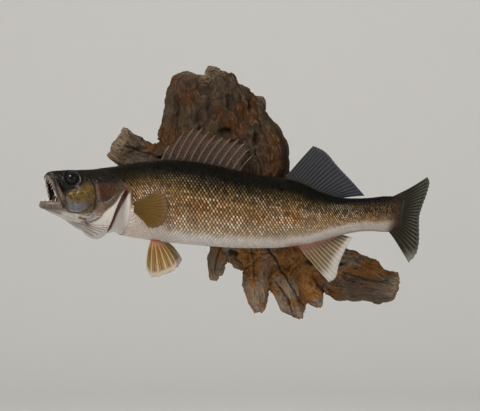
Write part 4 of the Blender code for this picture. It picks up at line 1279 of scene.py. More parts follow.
def scale_material(skin, scales):
    made, nodes = new_material("fish_scales")
    colour, under = add_markings(nodes, skin)
    local = nodes.axes(nodes.vector("local"))
    body = nodes.vector("body")
    shade = nodes.attribute("shade")
    rise = nodes.attribute("rise")
    # the part of a scale that shows, from the edge of the one before it to its own free edge
    slant = local[1] * 0.35
    back = (local[0] - 0.7 + slant) * 3.5
    aside = local[1] * 2.1
    away = nodes.maths("SQRT", back ** 2.0 + aside ** 2.0)
    rim = nodes.span(away, 0.55, 0.95)
    pale_below = nodes.span(under, -0.50, -0.72, scales.rim, 0.07)
    colour = nodes.tint(rim * pale_below, colour, (0.29, 0.175, 0.075))
    # painted highlight: a gold to cream-white glint on the middle of each scale's shown part, strongest
    # along the middle of the flank and fading towards the tail
    heart = nodes.span(away, 0.74, 0.22)
    lit = nodes.span(abs(rise + 0.16), 0.62, 0.42)
    painted_highlight = nodes.noise(body, 24.0, 2.0)
    painted_highlight = nodes.span(painted_highlight, 0.35, 0.62, 0.35, 1.0) * nodes.span(shade, 0.1, 0.9, 0.12, 1.0)
    toward_tail = nodes.axes(body)[0]
    painted_highlight = painted_highlight * nodes.span(toward_tail, 0.06, 0.26, 1.0, 0.45)
    painted_highlight = heart * lit * (painted_highlight * 0.9)
    glint = nodes.span(nodes.noise(body, 30.0, 2.0), 0.45, 0.62)
    colour = nodes.blend(painted_highlight, colour, nodes.blend(glint, (0.86, 0.56, 0.27), (1.0, 0.86, 0.68)))
    # gold specks on the middle of each scale of the dark upper flank, partly the scales' own gold and partly
    # painted highlight carried up from the flank; rust patches lower down
    speck = nodes.span(away, 0.66, 0.2) * nodes.span(rise, 0.12, 0.3)
    speck = speck * nodes.span(rise, 0.72, 0.42, 0.0, 0.8)
    speck = speck * nodes.span(shade, 0.1, 0.9, 0.3, 1.0)
    colour = nodes.blend(speck, colour, (0.24, 0.145, 0.040))
    rust = nodes.span(nodes.noise(body, 42.0, 2.0), 0.48, 0.68) * nodes.span(rise, 0.35, 0.15)
    rust = rust * nodes.span(rise, -0.62, -0.4, 0.0, 0.5)
    colour = nodes.tint(rust, colour, (1.0, 0.62, 0.3))
    even = nodes.span(under, -0.45, -0.75, 1.0, 0.35)
    tone = (shade - 0.55) * even * 0.34 + 1.0
    tone = nodes.out("ShaderNodeCombineXYZ", {0: tone, 1: tone, 2: tone})
    colour = nodes.tint(1.0, colour, tone)
    pore = nodes.attribute("line_row") * nodes.span(abs(local[1]), 0.12, 0.04)
    colour = nodes.blend(pore * 0.55, colour, skin.dark)
    colour = nodes.blend(nodes.span(toward_tail, 0.302, 0.328, 0.0, 0.8), colour, (0.040, 0.019, 0.008))
    nodes.shade(
        Base_Color=colour,
        Roughness=nodes.span(shade, 0, 1, 0.26, 0.42),
        Metallic=nodes.span(rise, -0.9, -0.3) * 0.22,
        Specular_IOR_Level=0.18,
        Coat_Weight=0.07,
        Coat_Roughness=0.2,
    )
    # growth rings run round the scale's root
    reach = nodes.maths("SQRT", local[0] ** 2.0 + local[1] ** 2.0)
    rings = {"Vector": nodes.out("ShaderNodeCombineXYZ", {0: reach}), "Scale": 3.0, "Distortion": 0.6}
    rings = nodes.out("ShaderNodeTexWave", rings, 1)
    combed = nodes.maths("SINE", local[1] * 95.0)
    height = rings + combed * nodes.span(local[0], 0.8, 0.98, 0.0, 0.5)
    nodes.shade(Normal=nodes.bump(height, 0.25, 0.15 * MM))
    return made


# ---- fins
FIN_ROOT = 2.5 * MM
RAY_POINTS = 5


def median_rays(count, first, last, edge, angles, lengths, bow):
    """Rays of a fin on the midline, as rows of (u, w, z) in metres from root to tip.

    angles and lengths are given along the fin as (place from 0 to 1, degrees or millimetres).
    """
    up = 1 if edge is back_line else -1
    angles, lengths = curve_through(angles), curve_through(lengths)
    rays = []
    for i in range(count):
        t = i / (count - 1)
        u = mix(first, last, t)
        z = float(edge(u)) - up * FIN_ROOT / MM
        step = (float(lengths(t)) + FIN_ROOT / MM) / (RAY_POINTS - 1)
        ray = [(u, 0, z)]
        for k in range(RAY_POINTS - 1):
            lean = math.radians(float(angles(t)) - bow * k / (RAY_POINTS - 2))
            u += step * math.cos(lean)
            z += up * step * math.sin(lean)
            ray.append((u, 0, z))
        rays.append(ray)
    return np.array(rays) * MM


# Tail fin: place up the tail (1 top, -1 bottom), root height, tip u, tip height.
TAIL_FIN_TIPS = (
    (-1, -50, 368, -112), (-0.86, -46, 380, -99), (-0.6, -38, 384, -76), (-0.3, -31, 379, -50),
    (0, -24, 375, -28), (0.3, -17, 379, -7), (0.6, -10, 385, 16), (0.86, -3, 386, 34), (1, 2, 380, 42),
)


def bowed_ray(root, middle, tip):
    """Points of a ray that leaves its root towards the middle point and ends at its tip."""
    s = np.linspace(0, 1, RAY_POINTS)[:, None]
    return np.array(root) * (1 - s) ** 2 + np.array(middle) * 2 * s * (1 - s) + np.array(tip) * s * s


def tail_rays():
    table = np.array(TAIL_FIN_TIPS, float)
    root_z, tip_u, tip_z = (curve_through(table[:, (0, k)]) for k in (1, 2, 3))
    rays = []
    for up in np.linspace(-1, 1, 13):
        root = (FLESH_END / MM - 26 + 16 * (1 - up * up), 0, float(root_z(up)))
        tip = (float(tip_u(up)), 0, float(tip_z(up)))
        bulge = (root[0] + (tip[0] - root[0]) * 0.5, 0, mix(root[2], tip[2], 0.42))
        rays.append(bowed_ray(root, bulge, tip))
    return np.array(rays) * MM


def paired_rays(side, root_a, root_b, tips, bow):
    """Rays of a paired fin. bow is how far the outer rays curve away from the middle of the fan."""
    count = 9
    edge = resampled(tips, count)
    rays = []
    for k in range(count):
        t = k / (count - 1)
        root = mix(np.array(root_a, float), np.array(root_b, float), t)
        along = edge[k] - root
        aside = np.array((along[2], 0, -along[0]))
        aside = unit(aside) * bow * (1 - 2 * t)
        rays.append(bowed_ray(root, mix(root, edge[k], 0.5) + aside, edge[k]) * (1, side, 1))
    return np.array(rays) * MM


PECTORAL_ROOT = ((-192, 45, -5), (-189, 44, -22))
PECTORAL_TIPS = (
    (-139, 53, 18), (-119, 56, 8), (-112.5, 57, -10), (-114, 56, -28), (-131, 52, -48), (-157, 46, -50)
)
PECTORAL_TIPS_WALL = (
    (-141, 52, 16), (-124, 54, 7), (-118, 54.5, -9), (-120, 54, -25), (-135, 51, -42), (-157, 47, -45),
)
PELVIC_ROOT_NEAR = ((-144, 14, -70), (-127, 14, -73))
PELVIC_ROOT_FAR = ((-136, 15, -71), (-119, 15, -74))
PELVIC_TIPS_NEAR = (
    (-158, 31, -124), (-148, 34, -139), (-132, 35, -138), (-114, 35, -133), (-100, 34, -127),
    (-94, 31, -118),
)
PELVIC_TIPS_FAR = (
    (-128, 25, -124), (-118, 29, -136), (-106, 30, -133), (-93, 28, -122), (-86, 25, -108), (-97, 20, -91)
)

# Each fin: its rays, how many show, the dip between them, whether they branch, and its colours:
# root, web, margin, ray and ray end, then how much of the edge the margin takes and the web's cover.
PECTORAL = dict(
    shown=14, dip=0.03, soft=True, on_flank=True, cover=0.94, margin=0.22, root=(0.085, 0.046, 0.006),
    web=(0.130, 0.066, 0.007), edge=(0.15, 0.080, 0.035), ray=(0.165, 0.100, 0.026), tip=(0.22, 0.135, 0.07),
)
PELVIC = dict(shown=6, dip=0.035, soft=True, cover=0.95)
FIN_LOOKS = {
    "dorsal_fin_spiny": dict(
        rays=lambda: median_rays(
            12, -124, 16, back_line, ((0, 70), (0.3, 66), (0.7, 60), (1, 58)),
            ((0, 30), (0.1, 58), (0.2, 70), (0.4, 60), (0.62, 58), (0.75, 62), (0.88, 50), (1, 34)), 14,
        ),
        shown=12, dip=0.17, soft=False, cover=0.40, margin=0.0,
        root=(0.045, 0.030, 0.018), web=(0.085, 0.052, 0.038), edge=(0.10, 0.07, 0.055),
        ray=(0.20, 0.145, 0.11), tip=(0.46, 0.39, 0.33),
    ),
    "dorsal_fin_soft": dict(
        rays=lambda: median_rays(
            12, 97, 196, back_line, ((0, 51), (0.35, 47), (0.7, 32), (1, 7)),
            ((0, 80), (0.2, 76), (0.5, 62), (0.8, 53), (1, 50)), 4,
        ),
        shown=20, dip=0.012, soft=True, cover=0.985, margin=0.10,
        root=(0.012, 0.011, 0.008), web=(0.014, 0.015, 0.022), edge=(0.030, 0.031, 0.037),
        ray=(0.085, 0.086, 0.094), tip=(0.30, 0.30, 0.31),
    ),
    "anal_fin": dict(
        rays=lambda: median_rays(
            9, 121, 199, belly_line, ((0, 51), (0.4, 45), (0.75, 32), (1, 14)),
            ((0, 88), (0.15, 84), (0.4, 60), (0.7, 38), (1, 22)), 4,
        ),
        shown=13, dip=0.008, soft=True, cover=0.95, margin=0.34,
        root=(0.50, 0.24, 0.18), web=(0.155, 0.10, 0.045), edge=(0.48, 0.455, 0.43), ray=(0.42, 0.34, 0.25),
        tip=(0.74, 0.72, 0.70),
    ),
    "tail_fin": dict(
        rays=tail_rays, shown=22, dip=0.012, soft=True, cover=0.99, margin=0.10, pale_tip=(-0.080, -0.108),
        root=(0.022, 0.014, 0.007), web=(0.014, 0.014, 0.007), edge=(0.05, 0.05, 0.042),
        ray=(0.040, 0.038, 0.026), tip=(0.20, 0.195, 0.165),
    ),
    "pectoral_fin_left": dict(PECTORAL, rays=lambda: paired_rays(LEFT, *PECTORAL_ROOT, PECTORAL_TIPS, 4)),
    "pectoral_fin_right": dict(
        PECTORAL, rays=lambda: paired_rays(RIGHT, *PECTORAL_ROOT, PECTORAL_TIPS_WALL, 4)
    ),
    "pelvic_fin_left": dict(
        PELVIC, rays=lambda: paired_rays(LEFT, *PELVIC_ROOT_NEAR, PELVIC_TIPS_NEAR, 6), margin=0.16,
        root=(0.50, 0.20, 0.12), web=(0.22, 0.108, 0.014), edge=(0.48, 0.43, 0.35), ray=(0.50, 0.38, 0.22),
        tip=(0.66, 0.61, 0.53),
    ),
    "pelvic_fin_right": dict(
        PELVIC, rays=lambda: paired_rays(RIGHT, *PELVIC_ROOT_FAR, PELVIC_TIPS_FAR, 6), margin=0.20,
        root=(0.36, 0.20, 0.13), web=(0.24, 0.15, 0.05), edge=(0.52, 0.46, 0.38), ray=(0.36, 0.28, 0.17),
        tip=(0.52, 0.47, 0.38),
    ),
}


def fin_sheet(rays):
    """A function that gives points of the fin from (across, along), both from 0 to 1."""
    wide, long = 97, 49
    columns = np.stack([resampled(rays[:, k], wide) for k in range(rays.shape[1])], 1)
    grid = np.stack([resampled(column, long) for column in columns])

    def at(across, along):
        x = np.clip(across, 0, 1) * (wide - 1)
        y = np.clip(along, 0, 1.08) * (long - 1)
        i = np.minimum(x.astype(int), wide - 2)
        j = np.minimum(y.astype(int), long - 2)
        fx, fy = (x - i)[..., None], (y - j)[..., None]
        return (
            grid[i, j] * (1 - fx) * (1 - fy)
            + grid[i + 1, j] * fx * (1 - fy)
            + grid[i, j + 1] * (1 - fx) * fy
            + grid[i + 1, j + 1] * fx * fy
        )

    return at


def flank_width(u, z):
    """Half the body's width at (u, z), zero above the back and below the belly."""
    up, tall, wide = outline_at(u, z)[:3]
    share = np.clip(np.abs(up) / tall, 0, 1)
    return wide * (1 - share**SECTION_POWER) ** (1 / SECTION_POWER)


def look_sheet(look):
    """The fin's surface. A fin that lies along the flank is kept just clear of the scales."""
    sheet = fin_sheet(look["rays"]())
    if not look.get("on_flank"):
        return sheet

    def at(across, along):
        point = sheet(across, along)
        clear = (mix(-1.2, 1.5, ease(along, 0.0, 0.10)) + 2.0 * along) * MM
        wide = np.maximum(np.abs(point[..., 1]), flank_width(point[..., 0], point[..., 2]) + clear)
        return np.stack([point[..., 0], np.sign(point[..., 1]) * wide, point[..., 2]], -1)

    return at


def fin_edge(across, look, seed):
    """How far the membrane reaches along its rays: it dips between them and is a little frayed."""
    phase = across * (look["shown"] - 1)
    between_rays = np.sin(math.pi * (phase % 1)) ** 0.8
    frayed = lattice_noise(np.column_stack([phase * 2.3, 0 * phase, 0 * phase]), seed)
    reach = 0.985 - look["dip"] * between_rays + 0.25 * look["dip"] * frayed
    if not look["soft"]:  # the membrane falls away behind the last full spine
        reach = reach * (1 - 0.80 * ease(across, 0.90, 1.0) ** 0.8)
    return reach


def membrane_mesh(name, look, fins, seed):
    """The fin's thin double-walled membrane, gently pleated between its rays."""
    columns, rows = 7 * (look["shown"] - 1) + 1, 30
    across = np.linspace(0, 1, columns)
    reach = fin_edge(across, look, seed)
    v, t = np.meshgrid(across, np.linspace(0, 1, rows), indexing="ij")
    sheet = look_sheet(look)
    along = t * reach[:, None]
    middle = sheet(v, along)
    normal = unit(np.cross(np.gradient(middle, axis=0), np.gradient(middle, axis=1)))
    pleat = np.cos(2 * math.pi * v * (look["shown"] - 1)) * 0.28 * MM * np.clip(4 * t, 0, 1)
    middle = middle + normal * pleat[..., None]
    half = (fins.membrane / 2 * mix(1.0, 0.86, t))[..., None]
    mesh = plate_mesh(name, middle + normal * half, middle - normal * half)
    mesh.shade_smooth()
    store(
        mesh,
        body=coordinates(mesh),
        share=np.tile(along.ravel(), 2),
        edge_gap=np.tile((reach[:, None] - along).ravel(), 2),
        phase=np.tile((v * (look["shown"] - 1)).ravel(), 2),
    )
    bend(mesh)
    return mesh


def ray_lines(name, look, fins, seed):
    """The lines that the rays are swept along. Soft rays branch twice towards the edge."""
    sheet = look_sheet(look)
    count = look["shown"]
    step = 1 / (count - 1)
    points, edges, radius, share = [], [], [], []

    def add_line(v0, v1, t0, t1, r0, r1, number):
        t = np.linspace(t0, t1, number)
        s = (t - t0) / (t1 - t0)
        v = np.clip(v0 + (v1 - v0) * s**0.8, 0, 1)
        start = sum(len(p) for p in points)
        points.append(sheet(v, t))
        edges.extend((start + k, start + k + 1) for k in range(number - 1))
        radius.append(r0 + (r1 - r0) * s)
        share.append(t)

    for k in range(count):
        v = k * step
        end = float(fin_edge(np.array([v]), look, seed)[0])
        if not look["soft"]:
            add_line(v, v, 0.0, 1.0, fins.spine_root, fins.ray_tip, 22)
            continue
        if k == 0:
            add_line(v, v, 0.0, end * 0.99, fins.ray_root, fins.ray_tip, 24)
            continue
        root, tip = fins.ray_root * 0.9, fins.ray_tip
        add_line(v, v, 0.0, 0.42, root, root * 0.66, 14)
        for a in (-1, 1):
            fork = v + a * 0.13 * step
            add_line(v, fork, 0.415, 0.70, root * 0.52, root * 0.42, 10)
            for b in (-1, 1):
                last = fork + b * 0.085 * step
                add_line(fork, last, 0.695, end * 0.985, root * 0.34, tip * 0.8, 9)
    placed = np.concatenate(points)
    mesh = make_mesh(name + "_lines", place(placed), [], edges)
    store(mesh, radius=np.concatenate(radius), share=np.concatenate(share), body=placed)
    return add_object(name + "_lines", mesh)


def web_group():
    """Colour of a fin from its root over the web to the margin, and the height of its fine folds."""
    inputs = dict.fromkeys(("Root", "Web", "Margin", "Ray"), "Color")
    inputs |= {"Margin Width": "Float", "Branched": "Float"}
    outputs = {"Colour": "Color", "Height": "Float", "Valley": "Float"}
    tree, nodes, given, out = new_tree("fin_web", "ShaderNodeTree", inputs, outputs)
    body = nodes.vector("body")
    share, gap = nodes.attribute("share"), nodes.attribute("edge_gap")
    wander = (nodes.noise(body, 70.0, 3.0) - 0.5) * 0.16
    at_root = nodes.span(share + wander, 0.3, 0.04)
    colour = nodes.blend(at_root, given["Web"], given["Root"])
    blotch = nodes.span(nodes.noise(body, 110.0, 3.0, 0.6), 0.45, 0.7, 0.0, 0.45)
    colour = nodes.tint(blotch, colour, (0.5, 0.45, 0.4))
    width = given["Margin Width"] + wander * 0.5
    at_edge = 1.0 - gap / nodes.maths("MAXIMUM", width, 0.001)
    at_edge = nodes.span(at_edge, 0.0, 0.6)
    colour = nodes.blend(at_edge, colour, given["Margin"])
    phase = nodes.attribute("phase") * 6.28318
    line = nodes.span(nodes.maths("COSINE", phase), 0.55, 0.97)
    twig = nodes.span(nodes.maths("COSINE", phase * 3.0), 0.45, 0.95)
    twig = twig * given["Branched"] * nodes.span(share, 0.3, 0.75)
    line = nodes.maths("MAXIMUM", line, twig) * nodes.span(share, 0.02, 0.2, 0.25, 0.8)
    colour = nodes.blend(line, colour, given["Ray"])
    valley = nodes.maths("COSINE", phase) * -0.5 + 0.5
    folds = nodes.maths("SINE", phase * 9.0)
    nodes.give(out["Colour"], colour)
    nodes.give(out["Height"], folds + nodes.noise(body, 600.0, 2.0))
    nodes.give(out["Valley"], valley)
    return tree


def fin_materials(name, look):
    """The membrane's and the rays' material of one fin."""
    made, nodes = new_material(name + "_web")
    inputs = {
        "Root": look["root"],
        "Web": look["web"],
        "Margin": look["edge"],
        "Margin Width": look["margin"],
    }
    inputs |= {"Ray": look["ray"], "Branched": 0.7 if look["soft"] else 0.0}
    web = nodes.group(tree_named("fin_web", web_group), inputs)
    shown = web["Colour"]
    if "pale_tip" in look:
        low = nodes.axes(nodes.vector("body"))[2]
        tip = nodes.span(low, *look["pale_tip"]) * nodes.span(nodes.attribute("share"), 0.6, 0.95)
        shown = nodes.blend(tip, shown, look["tip"])
    nodes.shade(Base_Color=shown)
    solid = look["cover"]
    share = nodes.attribute("share")
    cover = nodes.span(web["Valley"], 0.0, 1.0, min(1.0, solid + 0.12), solid)
    cover = nodes.maths("ADD", cover, nodes.span(share, 0.25, 0.0, 0.0, 0.5), clamp=True)
    nodes.shade(
        Alpha=cover,
        Roughness=0.42,
        Specular_IOR_Level=0.16,
        Coat_Weight=0.08,
        Coat_Roughness=0.2,
        Normal=nodes.bump(web["Height"], 0.35, 0.2 * MM),
    )
    ray, nodes = new_material(name + "_ray")
    share, body = nodes.attribute("share"), nodes.vector("body")
    colour = nodes.blend(nodes.span(share, 0.45, 0.95), look["ray"], look["tip"])
    colour = nodes.blend(nodes.span(share, 0.16, 0.02), colour, look["root"])
    joints = nodes.maths("SINE", share * 260.0)
    speck = nodes.span(nodes.noise(body, 240.0, 2.0), 0.5, 0.75, 0.0, 0.4)
    colour = nodes.tint(speck, colour, (0.6, 0.52, 0.42))
    nodes.shade(
        Base_Color=colour,
        Roughness=0.36,
        Specular_IOR_Level=0.22,
        Coat_Weight=0.1,
        Normal=nodes.bump(joints, 0.3 if look["soft"] else 0.0, 0.2 * MM),
    )
    return made, ray


def build_fin(name, look, fins, seed):
    web, ray = fin_materials(name, look)
    lines = ray_lines(name, look, fins, seed)
    piece = add_object(name + "_shown", membrane_mesh(name, look, fins, seed))
    tree = tree_named("fin_rays", fin_tree)
    mesh = run_tree(piece, tree, ray_lines=lines, ray_sides=7, ray_material=ray, membrane_material=web)
    bpy.data.objects.remove(lines)
    return finish_piece(add_object(name + "_rays_and_web", mesh), [name])


# ---- eyes, teeth and tongue
EYE_POLE = np.array((-0.16, 1.0, 0.10))  # where an eye looks, for the fish's right


def eye_mesh(name, side, settings):
    """A glass eye round its pole, its cornea a little proud, with the angle from the pole kept."""
    rings, sides = 40, 56
    pole = Vector(EYE_POLE * (1, side, 1)).normalized()
    angle = np.linspace(0.02, math.pi - 0.02, rings)[:, None]
    around = turns(sides)[None]
    bulge = 1 + 0.035 * ease(np.degrees(angle), 58, 8)
    ball = np.stack(
        [np.sin(angle) * np.cos(around), np.sin(angle) * np.sin(around), np.cos(angle) + 0 * around], -1
    )
    ball = ball * (settings.radius * bulge)[..., None]
    mesh = loft_mesh(name, ball)
    turned = Matrix.Translation(EYE * (1, side, 1)) @ pole.to_track_quat("Z", "Y").to_matrix().to_4x4()
    store(
        mesh, from_pole=np.repeat(np.degrees(angle[:, 0]), sides), ball=ball.reshape(-1, 3) / settings.radius
    )
    mesh.transform(turned)
    store(mesh, body=coordinates(mesh))
    mesh.shade_smooth()
    bend(mesh)
    return mesh


def eye_material(settings):
    made, nodes = new_material("glass_eye")
    angle = nodes.attribute("from_pole")
    body = nodes.vector("body")
    ball = nodes.vector("ball")
    streak = nodes.noise(nodes.stretch(ball, (9, 9, 2)), 1.6, 3.0, 0.65)
    iris = nodes.tint(nodes.span(streak, 0.35, 0.7), settings.iris, (2.2, 2.0, 1.5))
    iris = nodes.blend(nodes.span(angle, 42, 58), iris, (0.010, 0.011, 0.012))
    wobble = (nodes.noise(ball, 5.0) - 0.5) * 5.0
    pupil = nodes.span(angle + wobble, 35.5, 32.0)
    ring = nodes.span(angle, 39.5, 36.5) * nodes.span(angle, 33.5, 35.5)
    colour = nodes.blend(ring * 0.35, iris, (0.05, 0.042, 0.024))
    milk = nodes.span(nodes.noise(ball, 1.6, 2.0), 0.48, 0.7) * 0.35
    deep = nodes.blend(milk, (0.004, 0.005, 0.007), settings.shine)
    colour = nodes.blend(pupil, colour, deep)
    nodes.shade(
        Base_Color=colour,
        Roughness=0.14,
        IOR=1.5,
        Specular_IOR_Level=0.04,
        Coat_Weight=nodes.span(angle, 62, 40, 0.0, 0.4),
        Coat_Roughness=0.02,
        Normal=nodes.bump(nodes.noise(body, 500.0), 0.08, 0.2 * MM),
    )
    return made


# Rows of teeth in a jaw: path of (u, w, z), whether they point up, and length and radius of the longest.
UPPER_TEETH = ((-337.5, 2, 41), (-333.5, 11.5, 35.5), (-328.5, 18, 22), (-324, 23, 6))
LOWER_TEETH = ((-344.5, 2, -7), (-340, 11, -7.5), (-334, 17, -8), (-324, 22.5, -9))
TOOTH_STEP = 3.1 * MM


def tooth_template():
    """A curved canine one unit tall, its foot at the origin."""
    rings = []
    for t in np.linspace(0, 1, 8):
        a = turns(9)[:, None]
        r = 0.5 * (1 - t) ** 0.75 * (1 - 0.15 * math.sin(math.pi * t)) + 0.01
        centre = np.array((0.55 * t * t, 0, t))
        rings.append(np.concatenate([np.cos(a) * r, np.sin(a) * r, 0 * a], 1) + centre)
    mesh = loft_mesh("tooth_template", np.array(rings))
    mesh.shade_smooth()
    store(mesh, local=np.concatenate(rings))
    template = add_object("tooth_template", mesh)
    template.hide_render = True
    return template


def tooth_points(path, up, seed):
    """Feet of the teeth of one jaw, on both sides, with a large canine every few teeth."""
    chance = np.random.default_rng(seed)
    feet, out, lie, size = [], [], [], []
    line = resampled(path, 60) * MM
    reach = reach_along(line)
    for side in (LEFT, RIGHT):
        at, k = 1.2 * MM, 0
        while at < reach[-1]:
            foot = np.array([np.interp(at, reach, line[:, a]) for a in range(3)])
            tall = (
                ((11.5, 8.0, 9.4, 7.4) if up else (7.6, 4.6, 5.8, 4.2))[k % 4]
                * chance.uniform(0.88, 1.08)
                * MM
            )
            inner = chance.uniform(0.2, 1.6) * MM
            foot = (foot - (0, inner, 0)) * (1, side, 1)
            # the upper lip stands upright in the open mouth, so its teeth lean forward
            slant = 0.10 if up else -0.62
            lean = np.array((slant + chance.uniform(-0.12, 0.12), -0.2 * side, 1.0 if up else -0.75))
            feet.append(foot - lean * 0.8 * MM)
            out.append(unit(lean))
            lie.append(unit(np.array((1.0, -0.5 * side, 0.0))))
            thick = 0.20 * tall + 0.7 * MM
            size.append((thick, thick, tall + 0.8 * MM))
            at += TOOTH_STEP * chance.uniform(0.85, 1.15)
            k += 1
    feet, out, lie = np.array(feet), np.array(out), np.array(lie)
    small = 0.5 * MM
    root = place(feet)
    mesh = make_mesh("tooth_roots", root, [])
    store(
        mesh,
        outward=(place(feet + out * small) - root) / small,
        lie=(place(feet + lie * small) - root) / small,
        size=np.array(size),
        root_uv=np.zeros((len(feet), 3)),
    )
    return mesh


def tooth_material():
    made, nodes = new_material("fish_teeth")
    local = nodes.axes(nodes.vector("local"))
    colour = nodes.ramp(
        local[2], [(0.05, (0.44, 0.3, 0.18)), (0.3, (0.74, 0.66, 0.52)), (0.8, (0.84, 0.81, 0.74))]
    )
    nodes.shade(Base_Color=colour, Roughness=0.24, Coat_Weight=0.4)
    return made


def build_teeth(name, path, up, seed):
    template = bpy.data.objects.get("tooth_template") or tooth_template()
    material = bpy.data.materials.get("fish_teeth") or tooth_material()
    roots = add_object(name + "_roots", tooth_points(path, up, seed))
    tree = tree_named("lying_pieces", lying_tree)
    mesh = run_tree(roots, tree, template=template, lift=1.0, patch=BAKE_PATCH, material=material)
    return finish_piece(add_object(name, mesh))


def tongue_mesh():
    mesh = loft_mesh("tongue_shown", strap_rings(TONGUE, 1, (0, 0, 1), 40))
    tongue = add_object("tongue_shown", mesh)
    modify(tongue, "REMESH", mode="VOXEL", voxel_size=1.1 * MM)
    modify(tongue, "SMOOTH", factor=0.5, iterations=4)
    mesh = settle(tongue, "tongue_shown")
    p, n = coordinates(mesh), normals_of(mesh)
    up = ease(n[:, 2], 0.2, 0.8)
    crease = -0.7 * np.exp(-((p[:, 1] / (1.4 * MM)) ** 2)) + 0.16 * lattice_noise(p / (1.3 * MM), 4)
    set_coordinates(mesh, p + n * (up * crease * MM)[:, None])
    store(mesh, body=p)
    mesh.shade_smooth()
    bend(mesh)
    return mesh


def tongue_material(skin):
    made, nodes = new_material("fish_tongue")
    body = nodes.vector("body")
    colour = nodes.blend(nodes.noise(body, 170.0, 3.0), (0.22, 0.07, 0.05), (0.36, 0.19, 0.14))
    nodes.shade(
        Base_Color=colour,
        Roughness=0.3,
        Coat_Weight=0.5,
        Normal=nodes.bump(nodes.noise(body, 900.0), 0.4, 0.3 * MM),
    )
    return made


def steel_material():
    """Zinc-plated steel of the hanger: a fine crystal pattern and a few dull stains."""
    made, nodes = new_material("zinc_steel")
    where = nodes.out("ShaderNodeTexCoord", output="Object")
    cells = nodes.out("ShaderNodeTexVoronoi", {"Vector": where, "Scale": 420.0})
    stain = nodes.span(nodes.noise(where, 120.0, 4.0, 0.6), 0.5, 0.7)
    colour = nodes.blend(cells, (0.52, 0.53, 0.54), (0.66, 0.66, 0.65))
    colour = nodes.blend(stain * 0.5, colour, (0.34, 0.31, 0.27))
    nodes.shade(
        Base_Color=colour,
        Roughness=nodes.span(stain, 0, 1, 0.3, 0.55),
        Metallic=1.0,
        Normal=nodes.bump(nodes.noise(where, 700.0, 2.0), 0.15, 0.1 * MM),
    )
    return made


# ---- driftwood
# Each limb: depth share of its width, and stations of x, z, y, radius in the wall's plane.
LIMBS = {
    "burl": (0.74, (
        (-70, 229, -32, 16), (-77, 213, -33, 33), (-78, 186, -33, 43), (-77, 150, -32, 46),
        (-76, 115, -30, 57), (-66, 78, -29, 65), (-50, 40, -27, 62),
    )),
    "saddle": (0.70, ((-48, 226, -33, 14), (-48, 204, -32, 32), (-42, 150, -31, 44), (-36, 90, -29, 52))),
    "crown": (0.64, (
        (-20, 241, -30, 14), (-21, 231, -31, 24), (-16, 208, -31, 34), (-6, 160, -31, 50),
        (4, 93, -30, 64), (8, 40, -28, 74),
    )),
    "shoulder": (0.80, (
        (14, 214, -28, 9), (20, 200, -28, 17), (34, 162, -28, 29), (48, 130, -28, 35),
        (64, 101, -28, 39), (70, 72, -27, 40), (64, 44, -26, 40),
    )),
    "spur": (0.9, ((51, 189, -26, 8), (54, 174, -27, 12), (50, 146, -28, 17))),
    "arm": (0.52, (
        (-210, 106, -30, 31), (-190, 93, -30, 31), (-163, 79, -29, 30), (-130, 70, -28, 36),
        (-95, 62, -28, 46),
    )),
    "core": (0.46, ((-28, 46, -27, 74), (8, -10, -27, 76), (48, -64, -27, 74), (80, -92, -26, 58))),
    "bottom_edge": (0.7, ((-14, -80, -26, 28), (10, -86, -26, 27), (34, -92, -26, 27))),
    "heel": (0.8, ((82, -58, -26, 28), (104, -84, -26, 33), (124, -106, -26, 32))),
    "finger": (0.85, ((-27, -143, -31, 8), (-28, -133, -31, 12), (-24, -112, -30, 18), (-14, -76, -26, 25))),
    "root_a": (0.85, (
        (49, -202, -37, 11), (51, -192, -36, 17), (50, -170, -34, 22), (49, -128, -29, 25),
        (52, -84, -26, 28),
    )),
    "root_b": (0.80, (
        (129, -212, -36, 11), (122, -198, -35, 21), (108, -174, -32, 27), (92, -136, -28, 27),
        (76, -92, -26, 29),
    )),
    "root_c": (0.80, (
        (167, -195, -30, 9), (159, -184, -30, 16), (146, -165, -28, 21), (130, -128, -26, 23),
        (113, -92, -25, 25),
    )),
    "branch": (0.60, (
        (304, -163, -28, 27), (288, -160, -28, 29), (250, -149, -27, 39), (212, -137, -26, 45),
        (172, -118, -26, 44), (126, -90, -25, 42),
    )),
}
WOOD_SIDES = 28
TORN_FROM, TORN_TO = 8.5, 12.5  # numbers of the limbs whose ends are torn: finger to roots
BRANCH_LIMB = (12.0, 12.9)  # from the last root's number to the branch's
# Knots and hollows seen from the front: x, z, half width, half height, and a hollow's depth.
KNOTS = ((-76, 212, 17, 14), (226, -150, 9, 6))
HOLLOWS = (
    (-10, 122, 13, 11, 12), (17, 103, 15, 10, 11), (-36, 170, 8, 22, 7), (-52, 128, 7, 11, 6),
    (-112, 78, 22, 5, 7), (36, 172, 5, 14, 6), (0, 178, 7, 16, 6), (48, 112, 6, 15, 7),
    (4, -98, 10, 6, 6), (190, -116, 26, 4, 6), (-95, 168, 5, 20, 5), (152, -112, 16, 6, 7),
)
# Patches of bare orange wood: x, z, half width, half height.
BARE_PATCHES = (
    (-18, 229, 20, 12), (16, 150, 20, 22), (44, 170, 12, 22), (-124, 122, 16, 24), (-146, 96, 14, 16),
    (78, 92, 14, 34), (-60, 110, 22, 12), (30, -86, 40, 16), (40, -130, 14, 44), (110, -120, 26, 40),
    (-24, -96, 14, 26), (262, -128, 46, 9), (134, -178, 16, 26),
)
# Long open cracks as paths of (x, z), then half width and depth.
CRACKS = (
    (((60, -72), (84, -112), (112, -152), (138, -196)), 1.7, 12),
    (((2, 200), (10, 168), (26, 130)), 1.8, 7),
    (((-190, 102), (-150, 84), (-108, 72)), 1.7, 7),
    (((-14, -76), (-24, -104), (-28, -128)), 1.1, 4),
    (((38, -84), (42, -118), (44, -150)), 1.1, 4),
    (((206, -132), (246, -144), (288, -150)), 1.1, 4),
    (((84, -150), (104, -178), (112, -206)), 1.6, 8),
    (((46, 186), (52, 150), (66, 104)), 1.4, 6),
)


